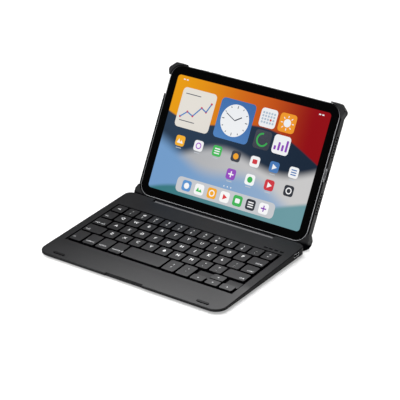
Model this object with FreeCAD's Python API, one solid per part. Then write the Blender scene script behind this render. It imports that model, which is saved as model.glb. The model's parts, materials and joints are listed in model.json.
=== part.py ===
"""Tablet keyboard case: wedge keyboard base, hinged tray shell with corner bumpers, and the tablet in it.

All sizes are in millimetres and degrees. X is to the right, Y to the rear and Z up. While it is modelled,
the base's rear edge lies on Y = 0 and the table is Z = 0. At the end every piece is moved so that the
origin is the middle of the whole object's footprint.

Two more frames are used. In the deck frame, x is to the right, y runs to the rear along the sloping deck and
z is the height above the deck, from the middle of the deck's rear edge. In the tray frame, x is to the right,
y up the screen and z out of the screen, from the middle of the screen.
"""
import math
import os

import FreeCAD
import Part

Vector = FreeCAD.Vector
ALONG_X = Vector(1, 0, 0)

# Tablet
tablet_width = 195.4
tablet_height = 134.8
tablet_thickness = 6.3
tablet_radius = 12.75
tablet_rim = 0.9
tablet_edge_bevel = 0.4
tablet_wall = 1.0
glass_thickness = 0.7
screen_border = 9.4
display_border = 0.8
display_thickness = 1.3
tablet_battery_width = 104.0
tablet_battery_height = 92.0
tablet_battery_thickness = 2.6
tablet_board_width = 26.0
tablet_board_height = 96.0
tablet_board_thickness = 1.0
tablet_port_width = 9.0
tablet_port_height = 3.0
tablet_port_depth = 6.5
tablet_tongue_thickness = 0.7
tablet_tongue_setback = 1.6
camera_from_side = 13.5
camera_from_top = 13.4
camera_radius = 5.6
camera_rise = 1.2
camera_bevel = 0.4
camera_sides = 24
button_length = 10.0
button_width = 2.4
button_rise = 0.45
button_depth = 1.0
button_travel = 0.25
button_clearance = 0.1
power_button_from_middle = 45.0
volume_button_from_side = 36.0
volume_button_spacing = 13.0

# Tray shell and its bumpers
tray_gap = 0.3
shell_wall = 1.3
shell_back = 1.3
shell_back_bevel = 0.9
rail_below_glass = 0.3
top_bumper_rise = 1.7
top_bumper_side = 3.5
top_bumper_along_top = 13.2
top_bumper_along_side = 11.9
top_bumper_shoulder = 3.4
top_bumper_cut_across = 7.0
top_bumper_cut_down = 6.4
top_bumper_cut_round = 2.6
top_bumper_front = 0.9
bottom_bumper_side = 4.1
bottom_bumper_along_bottom = 13.7
bottom_bumper_along_side = 9.4
bottom_bumper_reach = 8.1
bottom_bumper_front = 1.5
bottom_bumper_round = 6.0
bottom_bumper_cut_across = 4.0
bottom_bumper_shoulder = 4.7
bottom_bumper_shoulder_round = 2.0
bumper_back_bevel = 1.2
bumper_front_bevel = 0.5
port_window_width = 13.0
port_window_depth = 4.9
grille_hole_radius = 0.95
grille_hole_pitch = 2.8
grille_hole_count = 8
grille_hole_sides = 6
grille_from_middle = 18.0
power_window_low = 36.0
camera_window_width = 20.0
camera_window_height = 15.0
camera_window_radius = 5.0

# Hinge
screen_lean = 28.0
closed_gap = 2.0
hinge_depth = 4.3
hinge_inset = 0.45
hinge_drop = 3.8
barrel_radius = 3.2
barrel_gap = 0.5
notch_from_side = 33.2
knuckle_length = 9.2
knuckle_gap = 0.3
shaft_radius = 1.5
shaft_fit = 0.05
shaft_seat = 10.0
shaft_seat_fit = 0.02
spine_web = 1.9
spine_seat = 5.3
leaf_length = 17.0
leaf_thickness = 1.2
leaf_slot_gap = 0.2
hinge_screw_from_edge = 12.0
trim_width = 1.8
trim_rise = 0.5
trim_flat = 0.6
trim_seat = 0.5
trim_from_notch = 0.5
trim_left_gap = 3.2
trim_right_gap = 0.4
trim_pocket_depth = 0.9

# Keyboard base
base_overhang = 6.0
front_margin = 3.8
base_front_radius = 12.0
base_rear_radius = 8.0
deck_slope = 2.0
deck_thickness = 1.4
deck_edge_bevel = 0.7
base_wall = 1.6
parting_height = 3.0
parting_step = 0.15
foot_height = 1.0
cover_thickness = 1.1
cover_taper = 2.3
cover_front_taper = 4.2
cover_wall = 2.4
scoop_half_width = 20.8
scoop_from_middle = 2.1
scoop_top_depth = 2.4
scoop_bottom_depth = 0.6

# Key well and keys, measured along the deck from its rear edge
rear_border = 28.4
side_border = 8.6
well_margin = 1.5
well_depth = 1.5
well_rib = 1.6
web_thickness = 0.8
row_pitch = 15.15
bottom_row_pitch = 20.6
tab_cell = 14.3
delete_cell = 19.3
caps_cell = 17.3
left_shift_cell = 23.5
modifier_cell = 15.35
right_cell = 15.96
key_gap = 2.2
split_gap = 1.2
key_flare = 0.3
key_clearance = 0.3
key_rise = 0.8
key_corner = 0.7
key_engage = 0.6
key_travel = 1.2
key_skin = 1.2
travel_gap = 0.2
membrane_thickness = 0.25
plate_thickness = 0.3
stack_gap = 0.15
dome_radius = 2.2
dome_top_radius = 1.2
dome_sides = 4
dome_gap = 0.2

# Fittings of the base
slot_sides = 12
pad_length = 13.0
pad_width = 2.6
pad_from_side = 22.3
pad_from_front = 6.1
pad_seat = 0.5
pad_rise = 0.8
foot_length = 14.0
foot_width = 6.0
foot_from_side = 16.0
foot_from_edge = 12.0
foot_seat = 0.3
seat_gap = 0.1
screw_head_radius = 1.6
screw_head_height = 0.6
screw_radius = 0.7
screw_length = 3.2
screw_gap = 0.1
screw_sides = 6
boss_half = 2.3
screw_from_rear = 5.0
screw_from_side = 7.5
screw_from_front = 16.0
screw_front_from_middle = 68.0
battery_end_gap = 3.7
battery_thickness = 3.6
battery_edge_bevel = 0.6
inner_gap = 0.4
board_from_notch = 1.5
board_thickness = 1.0
board_from_rear = 8.5
board_post_half = 1.3
port_from_rear = 16.5
port_drop = 3.2
port_width = 9.0
port_height = 3.2
port_length = 7.3
port_wall = 0.3
port_recess = 0.3
port_tongue_width = 6.7
port_tongue_thickness = 0.7
port_tongue_setback = 1.5
port_opening_gap = 0.2
led_from_rear = 22.4
led_from_side = (29.3, 23.8, 17.7, 11.7)
led_length = 2.6
led_width = 1.0
led_gap = 0.05
led_chip_height = 0.6
switch_board_width = 12.0
switch_board_length = 14.0
switch_knob_length = 3.0
switch_knob_height = 1.8
switch_knob_recess = 0.1
switch_flange_length = 9.0
switch_flange_height = 2.6
switch_flange_thickness = 0.7
switch_body_width = 4.0
switch_travel = 2.4
moving_gap = 0.3

# How far cuts reach: well beyond the object, and just past the face they open
far = 400.0
overcut = 1.0

# Sizes that follow from the ones above
screen_width = tablet_width - 2 * screen_border
screen_height = tablet_height - 2 * screen_border
tray_thickness = tablet_thickness + tray_gap
shell_thickness = tray_thickness + shell_back
hinge_y = -(tablet_height / 2 + hinge_drop)
hinge_z = closed_gap + hinge_depth
base_width = tablet_width + 2 * base_overhang
base_half = base_width / 2
notch_half_length = base_half - notch_from_side
deck_length = hinge_inset + hinge_drop + tablet_height + top_bumper_rise + front_margin
base_depth = deck_length * math.cos(math.radians(deck_slope))
front_wall = base_wall + scoop_top_depth
floor_top = foot_height + cover_thickness
notch_depth = hinge_inset + barrel_radius + barrel_gap
barrel_half_length = notch_half_length - knuckle_gap - knuckle_length - knuckle_gap
led_spots = [base_half - inset for inset in led_from_side]
well_half = base_half - side_border
field_width = 2 * (well_half - well_margin)
key_cell = (field_width - tab_cell - delete_cell) / 10
field_length = 4 * row_pitch + bottom_row_pitch
well_front = rear_border + field_length + 2 * well_margin
key_skirt = well_depth + key_engage
membrane_depth = key_skirt + key_travel + travel_gap
plate_depth = membrane_depth + membrane_thickness
stack_depth = plate_depth + plate_thickness
deck_rear_height = (
    floor_top
    + stack_gap
    + stack_depth * math.cos(math.radians(deck_slope))
    + (well_front + well_rib) * math.sin(math.radians(deck_slope))
)

deck_frame = FreeCAD.Placement(Vector(0, 0, deck_rear_height), FreeCAD.Rotation(ALONG_X, deck_slope))
hinge_point = deck_frame.multVec(Vector(0, -hinge_inset, -hinge_depth))
tray_turn = FreeCAD.Rotation(ALONG_X, 90 - screen_lean)
tray_origin = hinge_point - tray_turn.multVec(Vector(0, hinge_y, hinge_z))
tray_frame = FreeCAD.Placement(tray_origin, tray_turn)


def placed(shape, frame):
    """The shape moved from its own frame into the model's."""
    moved = shape.copy()
    moved.Placement = frame.multiply(moved.Placement)
    return moved


def box(x_range, y_range, z_range):
    """A block between two corners."""
    corner = Vector(x_range[0], y_range[0], z_range[0])
    size = (x_range[1] - x_range[0], y_range[1] - y_range[0], z_range[1] - z_range[0])
    return Part.makeBox(*size, corner)


def outline(corners, z=0.0):
    """A closed wire through corners (x, y, radius), each rounded by an arc that meets both its sides."""
    edges = []
    ends = []
    count = len(corners)
    for index, (x, y, radius) in enumerate(corners):
        here = Vector(x, y, z)
        if radius == 0:
            ends.append((here, here))
            continue
        back = (Vector(*corners[index - 1][:2], z) - here).normalize()
        ahead = (Vector(*corners[(index + 1) % count][:2], z) - here).normalize()
        half_angle = back.getAngle(ahead) / 2
        reach = radius / math.tan(half_angle)
        inward = (back + ahead).normalize()
        middle = here + inward * (radius / math.sin(half_angle) - radius)
        start = here + back * reach
        end = here + ahead * reach
        edges.append(Part.Arc(start, middle, end).toShape())
        ends.append((start, end))
    for index in range(count):
        start = ends[index - 1][1]
        end = ends[index][0]
        if start.distanceToPoint(end) > 1e-6:
            edges.append(Part.LineSegment(start, end).toShape())
    return Part.Wire(Part.__sortEdges__(edges))


def rounded_rectangle(x_range, y_range, radii, z=0.0):
    """A rectangle outline; radii are those of its low-y and its high-y corners."""
    low, high = radii
    return outline(
        [
            (x_range[0], y_range[0], low),
            (x_range[1], y_range[0], low),
            (x_range[1], y_range[1], high),
            (x_range[0], y_range[1], high),
        ],
        z,
    )


def prism(wire, height):
    """The solid above a flat wire."""
    return Part.Face(wire).extrude(Vector(0, 0, height))


def obround(centre, length, width, z_range):
    """A slot-shaped solid with its length along X."""
    x, y = centre
    reach = (length - width) / 2
    radius = width / 2
    low = z_range[0]
    arc_right = Part.Arc(
        Vector(x + reach, y - radius, low),
        Vector(x + reach + radius, y, low),
        Vector(x + reach, y + radius, low),
    )
    arc_left = Part.Arc(
        Vector(x - reach, y + radius, low),
        Vector(x - reach - radius, y, low),
        Vector(x - reach, y - radius, low),
    )
    top = Part.LineSegment(arc_right.EndPoint, arc_left.StartPoint)
    bottom = Part.LineSegment(arc_left.EndPoint, arc_right.StartPoint)
    wire = Part.Wire([arc_right.toShape(), top.toShape(), arc_left.toShape(), bottom.toShape()])
    return prism(wire, z_range[1] - low)


def polygon_points(sides, radius):
    """Corners of a regular polygon about the origin, whose flats touch a circle of the radius."""
    reach = radius / math.cos(math.pi / sides)
    turns = [2 * math.pi * (index + 0.5) / sides for index in range(sides)]
    return [(reach * math.cos(turn), reach * math.sin(turn)) for turn in turns]


def ring_of(points, z):
    """Points (x, y) lifted to one height."""
    return [Vector(x, y, z) for x, y in points]


def flat_face(ring):
    return Part.Face(Part.makePolygon(ring + ring[:1]))


def stacked(rings):
    """A flat-sided solid through a stack of rings with equal numbers of corners."""
    faces = [flat_face(rings[0]), flat_face(rings[-1])]
    for low, high in zip(rings, rings[1:]):
        for index in range(len(low)):
            faces.append(flat_face([low[index - 1], low[index], high[index], high[index - 1]]))
    return Part.makeSolid(Part.makeShell(faces))


def slot_block(centre, length, width, z_range):
    """A slot-shaped solid with facetted ends and its length along X."""
    reach = (length - width) / 2
    points = []
    for x, y in polygon_points(slot_sides, width / 2):
        points.append((centre[0] + x + math.copysign(reach, x), centre[1] + y))
    return stacked([ring_of(points, z) for z in z_range])


def disc(centre, sides, radius, z_range):
    """An upright prism with many sides."""
    points = [(centre[0] + x, centre[1] + y) for x, y in polygon_points(sides, radius)]
    return stacked([ring_of(points, z) for z in z_range])


def rod_along_x(x_range, y, z, radius):
    """A cylinder whose axis runs along X."""
    return Part.makeCylinder(radius, x_range[1] - x_range[0], Vector(x_range[0], y, z), ALONG_X)


def strip_along_x(x_range, profile):
    """A bar along X whose section is the polygon of (y, z) points."""
    points = [Vector(x_range[0], y, z) for y, z in profile]
    face = Part.Face(Part.makePolygon(points + points[:1]))
    return face.extrude(Vector(x_range[1] - x_range[0], 0, 0))


def mirrored(shape):
    """The same piece on the other side of the middle plane."""
    return shape.mirror(Vector(0, 0, 0), ALONG_X)


def level_edges(shape, z):
    """Edges that lie flat at one height."""
    return [edge for edge in shape.Edges if all(abs(v.Z - z) < 1e-6 for v in edge.Vertexes)]


def on_deck(x_range, d_range, h_range):
    """A block in the deck frame; d is measured forward from the deck's rear edge."""
    return placed(box(x_range, (-d_range[1], -d_range[0]), h_range), deck_frame)


def above_deck(height):
    """Everything higher than the deck plus a height."""
    return on_deck((-far, far), (-far, far), (height, far))


def deck_height(d):
    """Height of the deck's surface over the table."""
    return deck_frame.multVec(Vector(0, -d, 0)).z


def base_outline(inset, z, front_inset=None):
    """The base seen from above, drawn in from its edge."""
    front = inset if front_inset is None else front_inset
    half = base_half - inset
    radii = (base_front_radius - inset, base_rear_radius - inset)
    return rounded_rectangle((-half, half), (front - base_depth, -inset), radii, z)


def notch_wall_block():
    """The hinge notch with the wall round it, through the whole base."""
    half = notch_half_length + base_wall
    return box((-half, half), (-(notch_depth + base_wall), far), (-far, far))


def notch_block():
    """The hinge notch itself."""
    return box((-notch_half_length, notch_half_length), (-notch_depth, far), (-far, far))


def scoop_block():
    """Finger scoop at the front edge, a little to the left: it leans in towards the deck."""
    front = -base_depth
    profile = [
        (front - far, 0),
        (front + scoop_bottom_depth, 0),
        (front + scoop_bottom_depth, parting_height),
        (front + scoop_top_depth, deck_height(deck_length)),
        (front + scoop_top_depth, far),
        (front - far, far),
    ]
    x_range = (-scoop_from_middle - scoop_half_width, scoop_half_width - scoop_from_middle)
    return strip_along_x(x_range, profile)


def key_cells():
    """Cells of every key node as (x0, x1, d0, d1), and the openings that hold them."""
    left = -field_width / 2
    right = field_width / 2
    rows = [rear_border + well_margin + index * row_pitch for index in range(5)]
    ends = rows[1:] + [rows[4] + bottom_row_pitch]

    def run(row, start, width, count):
        return [(start + i * width, start + (i + 1) * width, rows[row], ends[row]) for i in range(count)]

    letters_1 = left + tab_cell
    letters_2 = left + caps_cell
    letters_3 = left + left_shift_cell
    cells = {
        "number_keys": run(0, left, field_width / 13, 13),
        "tab_key": run(1, left, tab_cell, 1),
        "upper_letter_keys": run(1, letters_1, key_cell, 10),
        "delete_key": run(1, right - delete_cell, delete_cell, 1),
        "caps_key": run(2, left, caps_cell, 1),
        "middle_letter_keys": run(2, letters_2, key_cell, 10),
        "enter_key": run(2, letters_2 + 10 * key_cell, right - letters_2 - 10 * key_cell, 1),
        "left_shift_key": run(3, left, left_shift_cell, 1),
        "lower_letter_keys": run(3, letters_3, key_cell, 9),
        "right_shift_key": run(3, letters_3 + 9 * key_cell, right - letters_3 - 9 * key_cell, 1),
    }
    for index, name in enumerate(("fn_key", "ctrl_key", "alt_key", "cmd_key")):
        cells[name] = run(4, left + index * modifier_cell, modifier_cell, 1)
    space_start = left + 4 * modifier_cell
    space_end = right - 5 * right_cell
    cells["space_key"] = run(4, space_start, space_end - space_start, 1)
    cells["right_cmd_key"] = run(4, space_end, right_cell, 1)
    cells["right_alt_key"] = run(4, space_end + right_cell, right_cell, 1)

    middle = (rows[4] + ends[4]) / 2
    overlap = (key_gap - split_gap) / 2
    arrow_left, arrow_middle, arrow_right = run(4, space_end + 2 * right_cell, right_cell, 3)
    cells["left_arrow_key"] = [(arrow_left[0], arrow_left[1], middle - overlap, ends[4])]
    cells["up_arrow_key"] = [(arrow_middle[0], arrow_middle[1], rows[4], middle + overlap)]
    cells["down_arrow_key"] = [(arrow_middle[0], arrow_middle[1], middle - overlap, ends[4])]
    cells["right_arrow_key"] = [(arrow_right[0], arrow_right[1], middle - overlap, ends[4])]

    openings = [arrow_middle]
    for name, group in cells.items():
        if name not in ("up_arrow_key", "down_arrow_key"):
            openings += group
    return cells, openings


def cap_ring(cell, inset, height):
    """One level of a key cap: its cell drawn in, with cut corners."""
    x0, x1 = cell[0] + inset, cell[1] - inset
    y0, y1 = inset - cell[3], -cell[2] - inset
    c = key_corner
    points = [
        (x0 + c, y0),
        (x1 - c, y0),
        (x1, y0 + c),
        (x1, y1 - c),
        (x1 - c, y1),
        (x0 + c, y1),
        (x0, y1 - c),
        (x0, y0 + c),
    ]
    return ring_of(points, height)


def key_cap(cell):
    """A tapered cap with a hollow underside."""
    top_inset = key_gap / 2
    foot_inset = top_inset - key_flare
    levels = [
        cap_ring(cell, foot_inset, -key_skirt),
        cap_ring(cell, top_inset, key_rise),
    ]
    solid = stacked(levels)
    skin = foot_inset + key_skin
    hollow = box(
        (cell[0] + skin, cell[1] - skin),
        (skin - cell[3], -cell[2] - skin),
        (-key_skirt - overcut, key_rise - key_skin),
    )
    return placed(solid.cut(hollow), deck_frame)


def key_opening(cell):
    """The hole in the web that one cap runs in."""
    inset = key_gap / 2 - key_flare - key_clearance
    return on_deck((cell[0] + inset, cell[1] - inset), (cell[2] + inset, cell[3] - inset), (-far / 2, 0))


def screw_spots():
    """Places of the case screws, seen from above."""
    side = well_half + well_rib + seat_gap + boss_half
    rear = base_half - screw_from_side
    front = screw_from_front - base_depth
    spots = []
    for sign in (-1, 1):
        spots.append((sign * rear, -screw_from_rear))
        spots.append((sign * side, -base_depth / 2))
        spots.append((sign * screw_front_from_middle, front))
    return spots


def hinge_screw_spots():
    """Places of the hinge screws on the bracket leaves, in the deck frame."""
    middle = notch_half_length - knuckle_gap - knuckle_length / 2
    return [(-middle, -hinge_screw_from_edge), (middle, -hinge_screw_from_edge)]


def port_height_over_table():
    return deck_height(port_from_rear) - port_drop


def board_top():
    return port_height_over_table() - port_height / 2


def top_deck():
    tall = deck_rear_height + parting_height
    body = prism(base_outline(0, parting_height), tall).cut(above_deck(0))
    deck_face = max(body.Faces, key=lambda face: face.CenterOfMass.z)
    body = body.makeChamfer(deck_edge_bevel, deck_face.Edges)

    hollow = prism(base_outline(base_wall, parting_height, front_wall), tall)
    hollow = hollow.cut(above_deck(-deck_thickness))
    ring_half = well_half + well_rib
    ring_range = (rear_border - well_rib, well_front + well_rib)
    ring = on_deck((-ring_half, ring_half), ring_range, (-membrane_depth, 0))
    under_web = -(well_depth + web_thickness)
    well_range = (rear_border, well_front)
    below = on_deck((-well_half, well_half), well_range, (-far, under_web))
    hollow = hollow.cut(ring.cut(below)).cut(notch_wall_block())
    hollow = hollow.cut([screw_boss(x, y) for x, y in screw_spots()])
    leaf_top = -hinge_depth + leaf_thickness / 2
    for x, y in hinge_screw_spots():
        boss = on_deck((x - boss_half, x + boss_half), (-y - boss_half, boss_half - y), (leaf_top, 0))
        hollow = hollow.cut(boss)

    cuts = [hollow, notch_block(), scoop_block()]
    cuts.append(on_deck((-well_half, well_half), well_range, (-well_depth, far)))
    cuts += [key_opening(cell) for cell in key_cells()[1]]
    cuts += [screw_hole(x, y) for x, y in screw_spots()]
    cuts += [hinge_screw(x, y, screw_gap) for x, y in hinge_screw_spots()]
    cuts += [hinge_leaf(sign, leaf_slot_gap) for sign in (-1, 1)]
    cuts += [led_window(x, led_gap) for x in led_spots]
    cuts += [rest_pad(sign, seat_gap) for sign in (-1, 1)]
    cuts += [trim_bar(seat_gap), trim_pocket(), port_opening(), switch_slot()]
    return body.cut(cuts)


def bottom_cover():
    front_inset = parting_step + cover_front_taper
    underside = base_outline(parting_step + cover_taper, foot_height, front_inset)
    body = Part.makeLoft([underside, base_outline(parting_step, parting_height)], True, True)
    hollow = prism(base_outline(cover_wall, floor_top, front_wall), parting_height)
    hollow = hollow.cut(notch_wall_block())
    hollow = hollow.cut([screw_boss(x, y) for x, y in screw_spots()])
    cuts = [hollow, notch_block(), scoop_block()]
    cuts += [screw_hole(x, y) for x, y in screw_spots()]
    cuts += [foot(x, y, seat_gap) for x, y in foot_spots()]
    body = body.cut(cuts)
    return body.fuse([board_post(x, y) for x, y in post_spots()]).removeSplitter()


def screw_boss(x, y):
    """The square pillar that one case screw goes up into."""
    return box((x - boss_half, x + boss_half), (y - boss_half, y + boss_half), (-far, far))


def board_post(x, y):
    """A square post of the bottom cover under a circuit board."""
    half = board_post_half
    top = board_top() - board_thickness
    return box((x - half, x + half), (y - half, y + half), (floor_top, top))


def screw(x, y, low, head_gap=0.0, shank_gap=0.0):
    """A screw that points up, with its head's underside at a height; with gaps, the hole for it."""
    head_range = (low, low + screw_head_height + head_gap)
    shank_range = (low, low + screw_length + shank_gap)
    head = disc((x, y), screw_sides, screw_head_radius + head_gap, head_range)
    shank = disc((x, y), screw_sides, screw_radius + shank_gap, shank_range)
    return head.fuse(shank).removeSplitter()


def screw_hole(x, y):
    """Counterbore and thread hole for one case screw, from below."""
    return screw(x, y, foot_height, screw_gap, screw_gap)


def case_screws():
    return Part.makeCompound([screw(x, y, foot_height) for x, y in screw_spots()])


def foot_spots():
    spots = []
    for sign in (-1, 1):
        x = sign * (base_half - foot_from_side)
        spots.append((x, -foot_from_edge))
        spots.append((x, foot_from_edge - base_depth))
    return spots


def foot(x, y, gap=0.0):
    """A rubber foot, let into the bottom cover."""
    top = foot_height + foot_seat
    return slot_block((x, y), foot_length + 2 * gap, foot_width + 2 * gap, (0, top))


def rubber_feet():
    return Part.makeCompound([foot(x, y) for x, y in foot_spots()])


def rest_pad(sign, gap=0.0):
    """A rubber pad on the palm rest that the closed lid comes down on."""
    centre = (sign * (base_half - pad_from_side), pad_from_front - deck_length)
    pad = slot_block(centre, pad_length + 2 * gap, pad_width + 2 * gap, (-pad_seat, pad_rise))
    return placed(pad, deck_frame)


def rest_pads():
    return Part.makeCompound([rest_pad(sign) for sign in (-1, 1)])


def trim_bar(gap=0.0):
    """Trim strip along the notch: it rises from its front edge to a flat top."""
    x_range = (trim_left_gap - notch_half_length - gap, notch_half_length - trim_right_gap + gap)
    rear = -(notch_depth + trim_from_notch) + gap
    front = rear - trim_width - 2 * gap
    ramp = rear - trim_flat
    profile = [(rear, -trim_seat), (rear, trim_rise), (ramp, trim_rise), (front, 0), (front, -trim_seat)]
    return placed(strip_along_x(x_range, profile), deck_frame)


def trim_pocket():
    """Open end of the trim's groove, at the left end of the notch."""
    x_range = (-notch_half_length, trim_left_gap - notch_half_length)
    d_range = (notch_depth - overcut, notch_depth + trim_from_notch + trim_width)
    return on_deck(x_range, d_range, (-trim_pocket_depth, far))


def key_sheet(depth, thickness):
    """A sheet under the whole key well, held against its rib."""
    half = well_half + well_rib
    d_range = (rear_border - well_rib, well_front + well_rib)
    return on_deck((-half, half), d_range, (-depth - thickness, -depth))


def key_membrane():
    dome_height = membrane_depth - key_skin + key_rise - key_travel - dome_gap
    sheet = key_sheet(membrane_depth, membrane_thickness)
    domes = []
    for group in key_cells()[0].values():
        for x0, x1, d0, d1 in group:
            rings = []
            for radius, rise in ((dome_radius, 0), (dome_top_radius, dome_height)):
                corners = polygon_points(dome_sides, radius)
                points = [((x0 + x1) / 2 + x, y - (d0 + d1) / 2) for x, y in corners]
                rings.append(ring_of(points, rise - membrane_depth))
            domes.append(placed(stacked(rings), deck_frame))
    return sheet.fuse(domes).removeSplitter()


def key_plate():
    return key_sheet(plate_depth, plate_thickness)


def battery_pack():
    rear = -(notch_depth + base_wall + inner_gap)
    front = -(rear_border - well_rib - inner_gap)
    half = barrel_half_length - battery_end_gap
    cell = box((-half, half), (front, rear), (floor_top, floor_top + battery_thickness))
    edges = [edge for edge in cell.Edges if abs(edge.tangentAt(edge.FirstParameter).x) > 0.9]
    return cell.makeChamfer(battery_edge_bevel, edges)


def board_x_range():
    return (notch_half_length + board_from_notch, base_half - base_wall - inner_gap)


def board_y_range():
    return (-(rear_border - well_rib - inner_gap), -board_from_rear)


def post_spots():
    """Posts of the bottom cover that carry the two boards."""
    x0, x1 = board_x_range()
    y0, y1 = board_y_range()
    edge = 2 * board_post_half
    main = [(x0 + edge, y0 + edge), (x0 + edge, y1 - edge), (x1 - edge, y0 + edge), (x1 - edge, y1 - edge)]
    x2, x3 = switch_board_x_range()
    return main + [(x2 + edge, -port_from_rear), (x3 - edge, -port_from_rear)]


def main_board():
    top = board_top()
    board = box(board_x_range(), board_y_range(), (top - board_thickness, top))
    chips = []
    for x in led_spots:
        chip_x = (x - led_width, x + led_width)
        chip_y = (-led_from_rear - led_width / 2, -led_from_rear + led_width / 2)
        chips.append(box(chip_x, chip_y, (top, top + led_chip_height)))
    return board.fuse(chips).removeSplitter()


def led_window(x, gap=0.0):
    """A light pipe from the deck's surface down to its lamp on the board."""
    bottom = board_top() + led_chip_height + moving_gap
    depth = deck_height(led_from_rear) - bottom
    half_length = led_length / 2 + gap
    half_width = led_width / 2 + gap
    d_range = (led_from_rear - half_width, led_from_rear + half_width)
    return on_deck((x - half_length, x + half_length), d_range, (-depth, 0))


def led_light_pipes():
    return Part.makeCompound([led_window(x) for x in led_spots])


def port_profile(grow, x_range):
    """A slot-shaped bar along X through the right wall, at the charging port."""
    bar = obround((0, 0), port_width + 2 * grow, port_height + 2 * grow, (x_range[0], x_range[1]))
    turned = FreeCAD.Rotation(Vector(0, 1, 0), Vector(0, 0, 1), Vector(1, 0, 0), "ZXY")
    place = FreeCAD.Placement(Vector(0, -port_from_rear, port_height_over_table()), turned)
    return placed(bar, place)


def port_opening():
    return port_profile(port_opening_gap, (base_half - base_wall - overcut, base_half + overcut))


def charging_port():
    mouth = base_half - port_recess
    back = mouth - port_length
    shell = port_profile(0, (back, mouth))
    bore = port_profile(-port_wall, (back + port_wall, mouth + overcut))
    middle = port_height_over_table()
    tongue = box(
        (back, mouth - port_tongue_setback),
        (-port_from_rear - port_tongue_width / 2, -port_from_rear + port_tongue_width / 2),
        (middle - port_tongue_thickness / 2, middle + port_tongue_thickness / 2),
    )
    return shell.cut(bore).fuse(tongue).removeSplitter()


def switch_board_x_range():
    inner = base_half - base_wall - inner_gap
    return (-inner, switch_board_width - inner)


def switch_slot():
    """Opening in the left wall for the switch knob and its travel."""
    half = switch_knob_length / 2 + moving_gap
    height = switch_knob_height / 2 + moving_gap
    middle = port_height_over_table()
    y_range = (-port_from_rear - half - switch_travel, -port_from_rear + half)
    x_range = (-base_half - overcut, base_wall + overcut - base_half)
    return box(x_range, y_range, (middle - height, middle + height))


def switch_flange_x_range():
    outer = -base_half + base_wall + moving_gap
    return (outer, outer + switch_flange_thickness)


def power_switch():
    middle = port_height_over_table()
    flange_x = switch_flange_x_range()

    def block(x_range, length, height):
        y_range = (-port_from_rear - length / 2, -port_from_rear + length / 2)
        return box(x_range, y_range, (middle - height / 2, middle + height / 2))

    knob = block((switch_knob_recess - base_half, flange_x[1]), switch_knob_length, switch_knob_height)
    flange = block(flange_x, switch_flange_length, switch_flange_height)
    return knob.fuse(flange).removeSplitter()


def switch_board():
    """Small board with the body of the slide switch on it."""
    top = board_top()
    half = switch_board_length / 2
    y_range = (-port_from_rear - half, -port_from_rear + half)
    board = box(switch_board_x_range(), y_range, (top - board_thickness, top))
    clear_of_flange = switch_flange_height / 2 + moving_gap
    inner = switch_flange_x_range()[1] + moving_gap
    slot = box((-base_half, inner), (-far, far), (port_height_over_table() - clear_of_flange, far))
    body = box((inner, inner + switch_body_width), y_range, (top, top + switch_flange_height))
    return board.cut(slot).fuse(body).removeSplitter()


def knuckle_x_range(sign):
    inner = notch_half_length - knuckle_gap - knuckle_length
    outer = notch_half_length - knuckle_gap
    return (inner, outer) if sign > 0 else (-outer, -inner)


def hinge_leaf(sign, gap=0.0):
    """Flat leaf that runs from the knuckle through the notch wall into the base."""
    x0, x1 = knuckle_x_range(sign)
    half = leaf_thickness / 2 + gap
    h_range = (-hinge_depth - half, -hinge_depth + half)
    return on_deck((x0 - gap, x1 + gap), (hinge_inset, leaf_length + gap), h_range)


def hinge_bracket(sign):
    x_range = knuckle_x_range(sign)
    knuckle = placed(rod_along_x(x_range, -hinge_inset, -hinge_depth, barrel_radius), deck_frame)
    bore = placed(rod_along_x(x_range, -hinge_inset, -hinge_depth, shaft_radius + shaft_fit), deck_frame)
    body = knuckle.fuse(hinge_leaf(sign)).removeSplitter()
    return body.cut([bore] + [hinge_screw(x, y, screw_gap) for x, y in hinge_screw_spots()])


def hinge_screw(x, y, gap=0.0):
    """A screw up through the bracket leaf into the deck's boss."""
    leaf_bottom = -hinge_depth - leaf_thickness / 2
    return placed(screw(x, y, leaf_bottom - screw_head_height, 0.0, gap), deck_frame)


def hinge_screws():
    return Part.makeCompound([hinge_screw(x, y) for x, y in hinge_screw_spots()])


def tablet_outline(grow, z):
    half_width = tablet_width / 2 + grow
    half_height = tablet_height / 2 + grow
    radius = tablet_radius + grow
    return rounded_rectangle((-half_width, half_width), (-half_height, half_height), (radius, radius), z)


def tray_core():
    """The space that the tablet takes up in the tray, through the whole thickness."""
    return prism(tablet_outline(tray_gap, -far / 2), far)


def corner_zone(x_from, y_range):
    """What lies outside the tray at its right corners, beyond x_from."""
    return box((x_from, far), y_range, (-far, far)).cut(tray_core())


def top_bumper_limits():
    """Where a top bumper starts along the top edge and along the side."""
    return (
        tablet_width / 2 - top_bumper_along_top,
        tablet_height / 2 - top_bumper_along_side,
    )


def bottom_bumper_limits():
    return (
        tablet_width / 2 - bottom_bumper_along_bottom,
        bottom_bumper_along_side - tablet_height / 2,
    )


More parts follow.
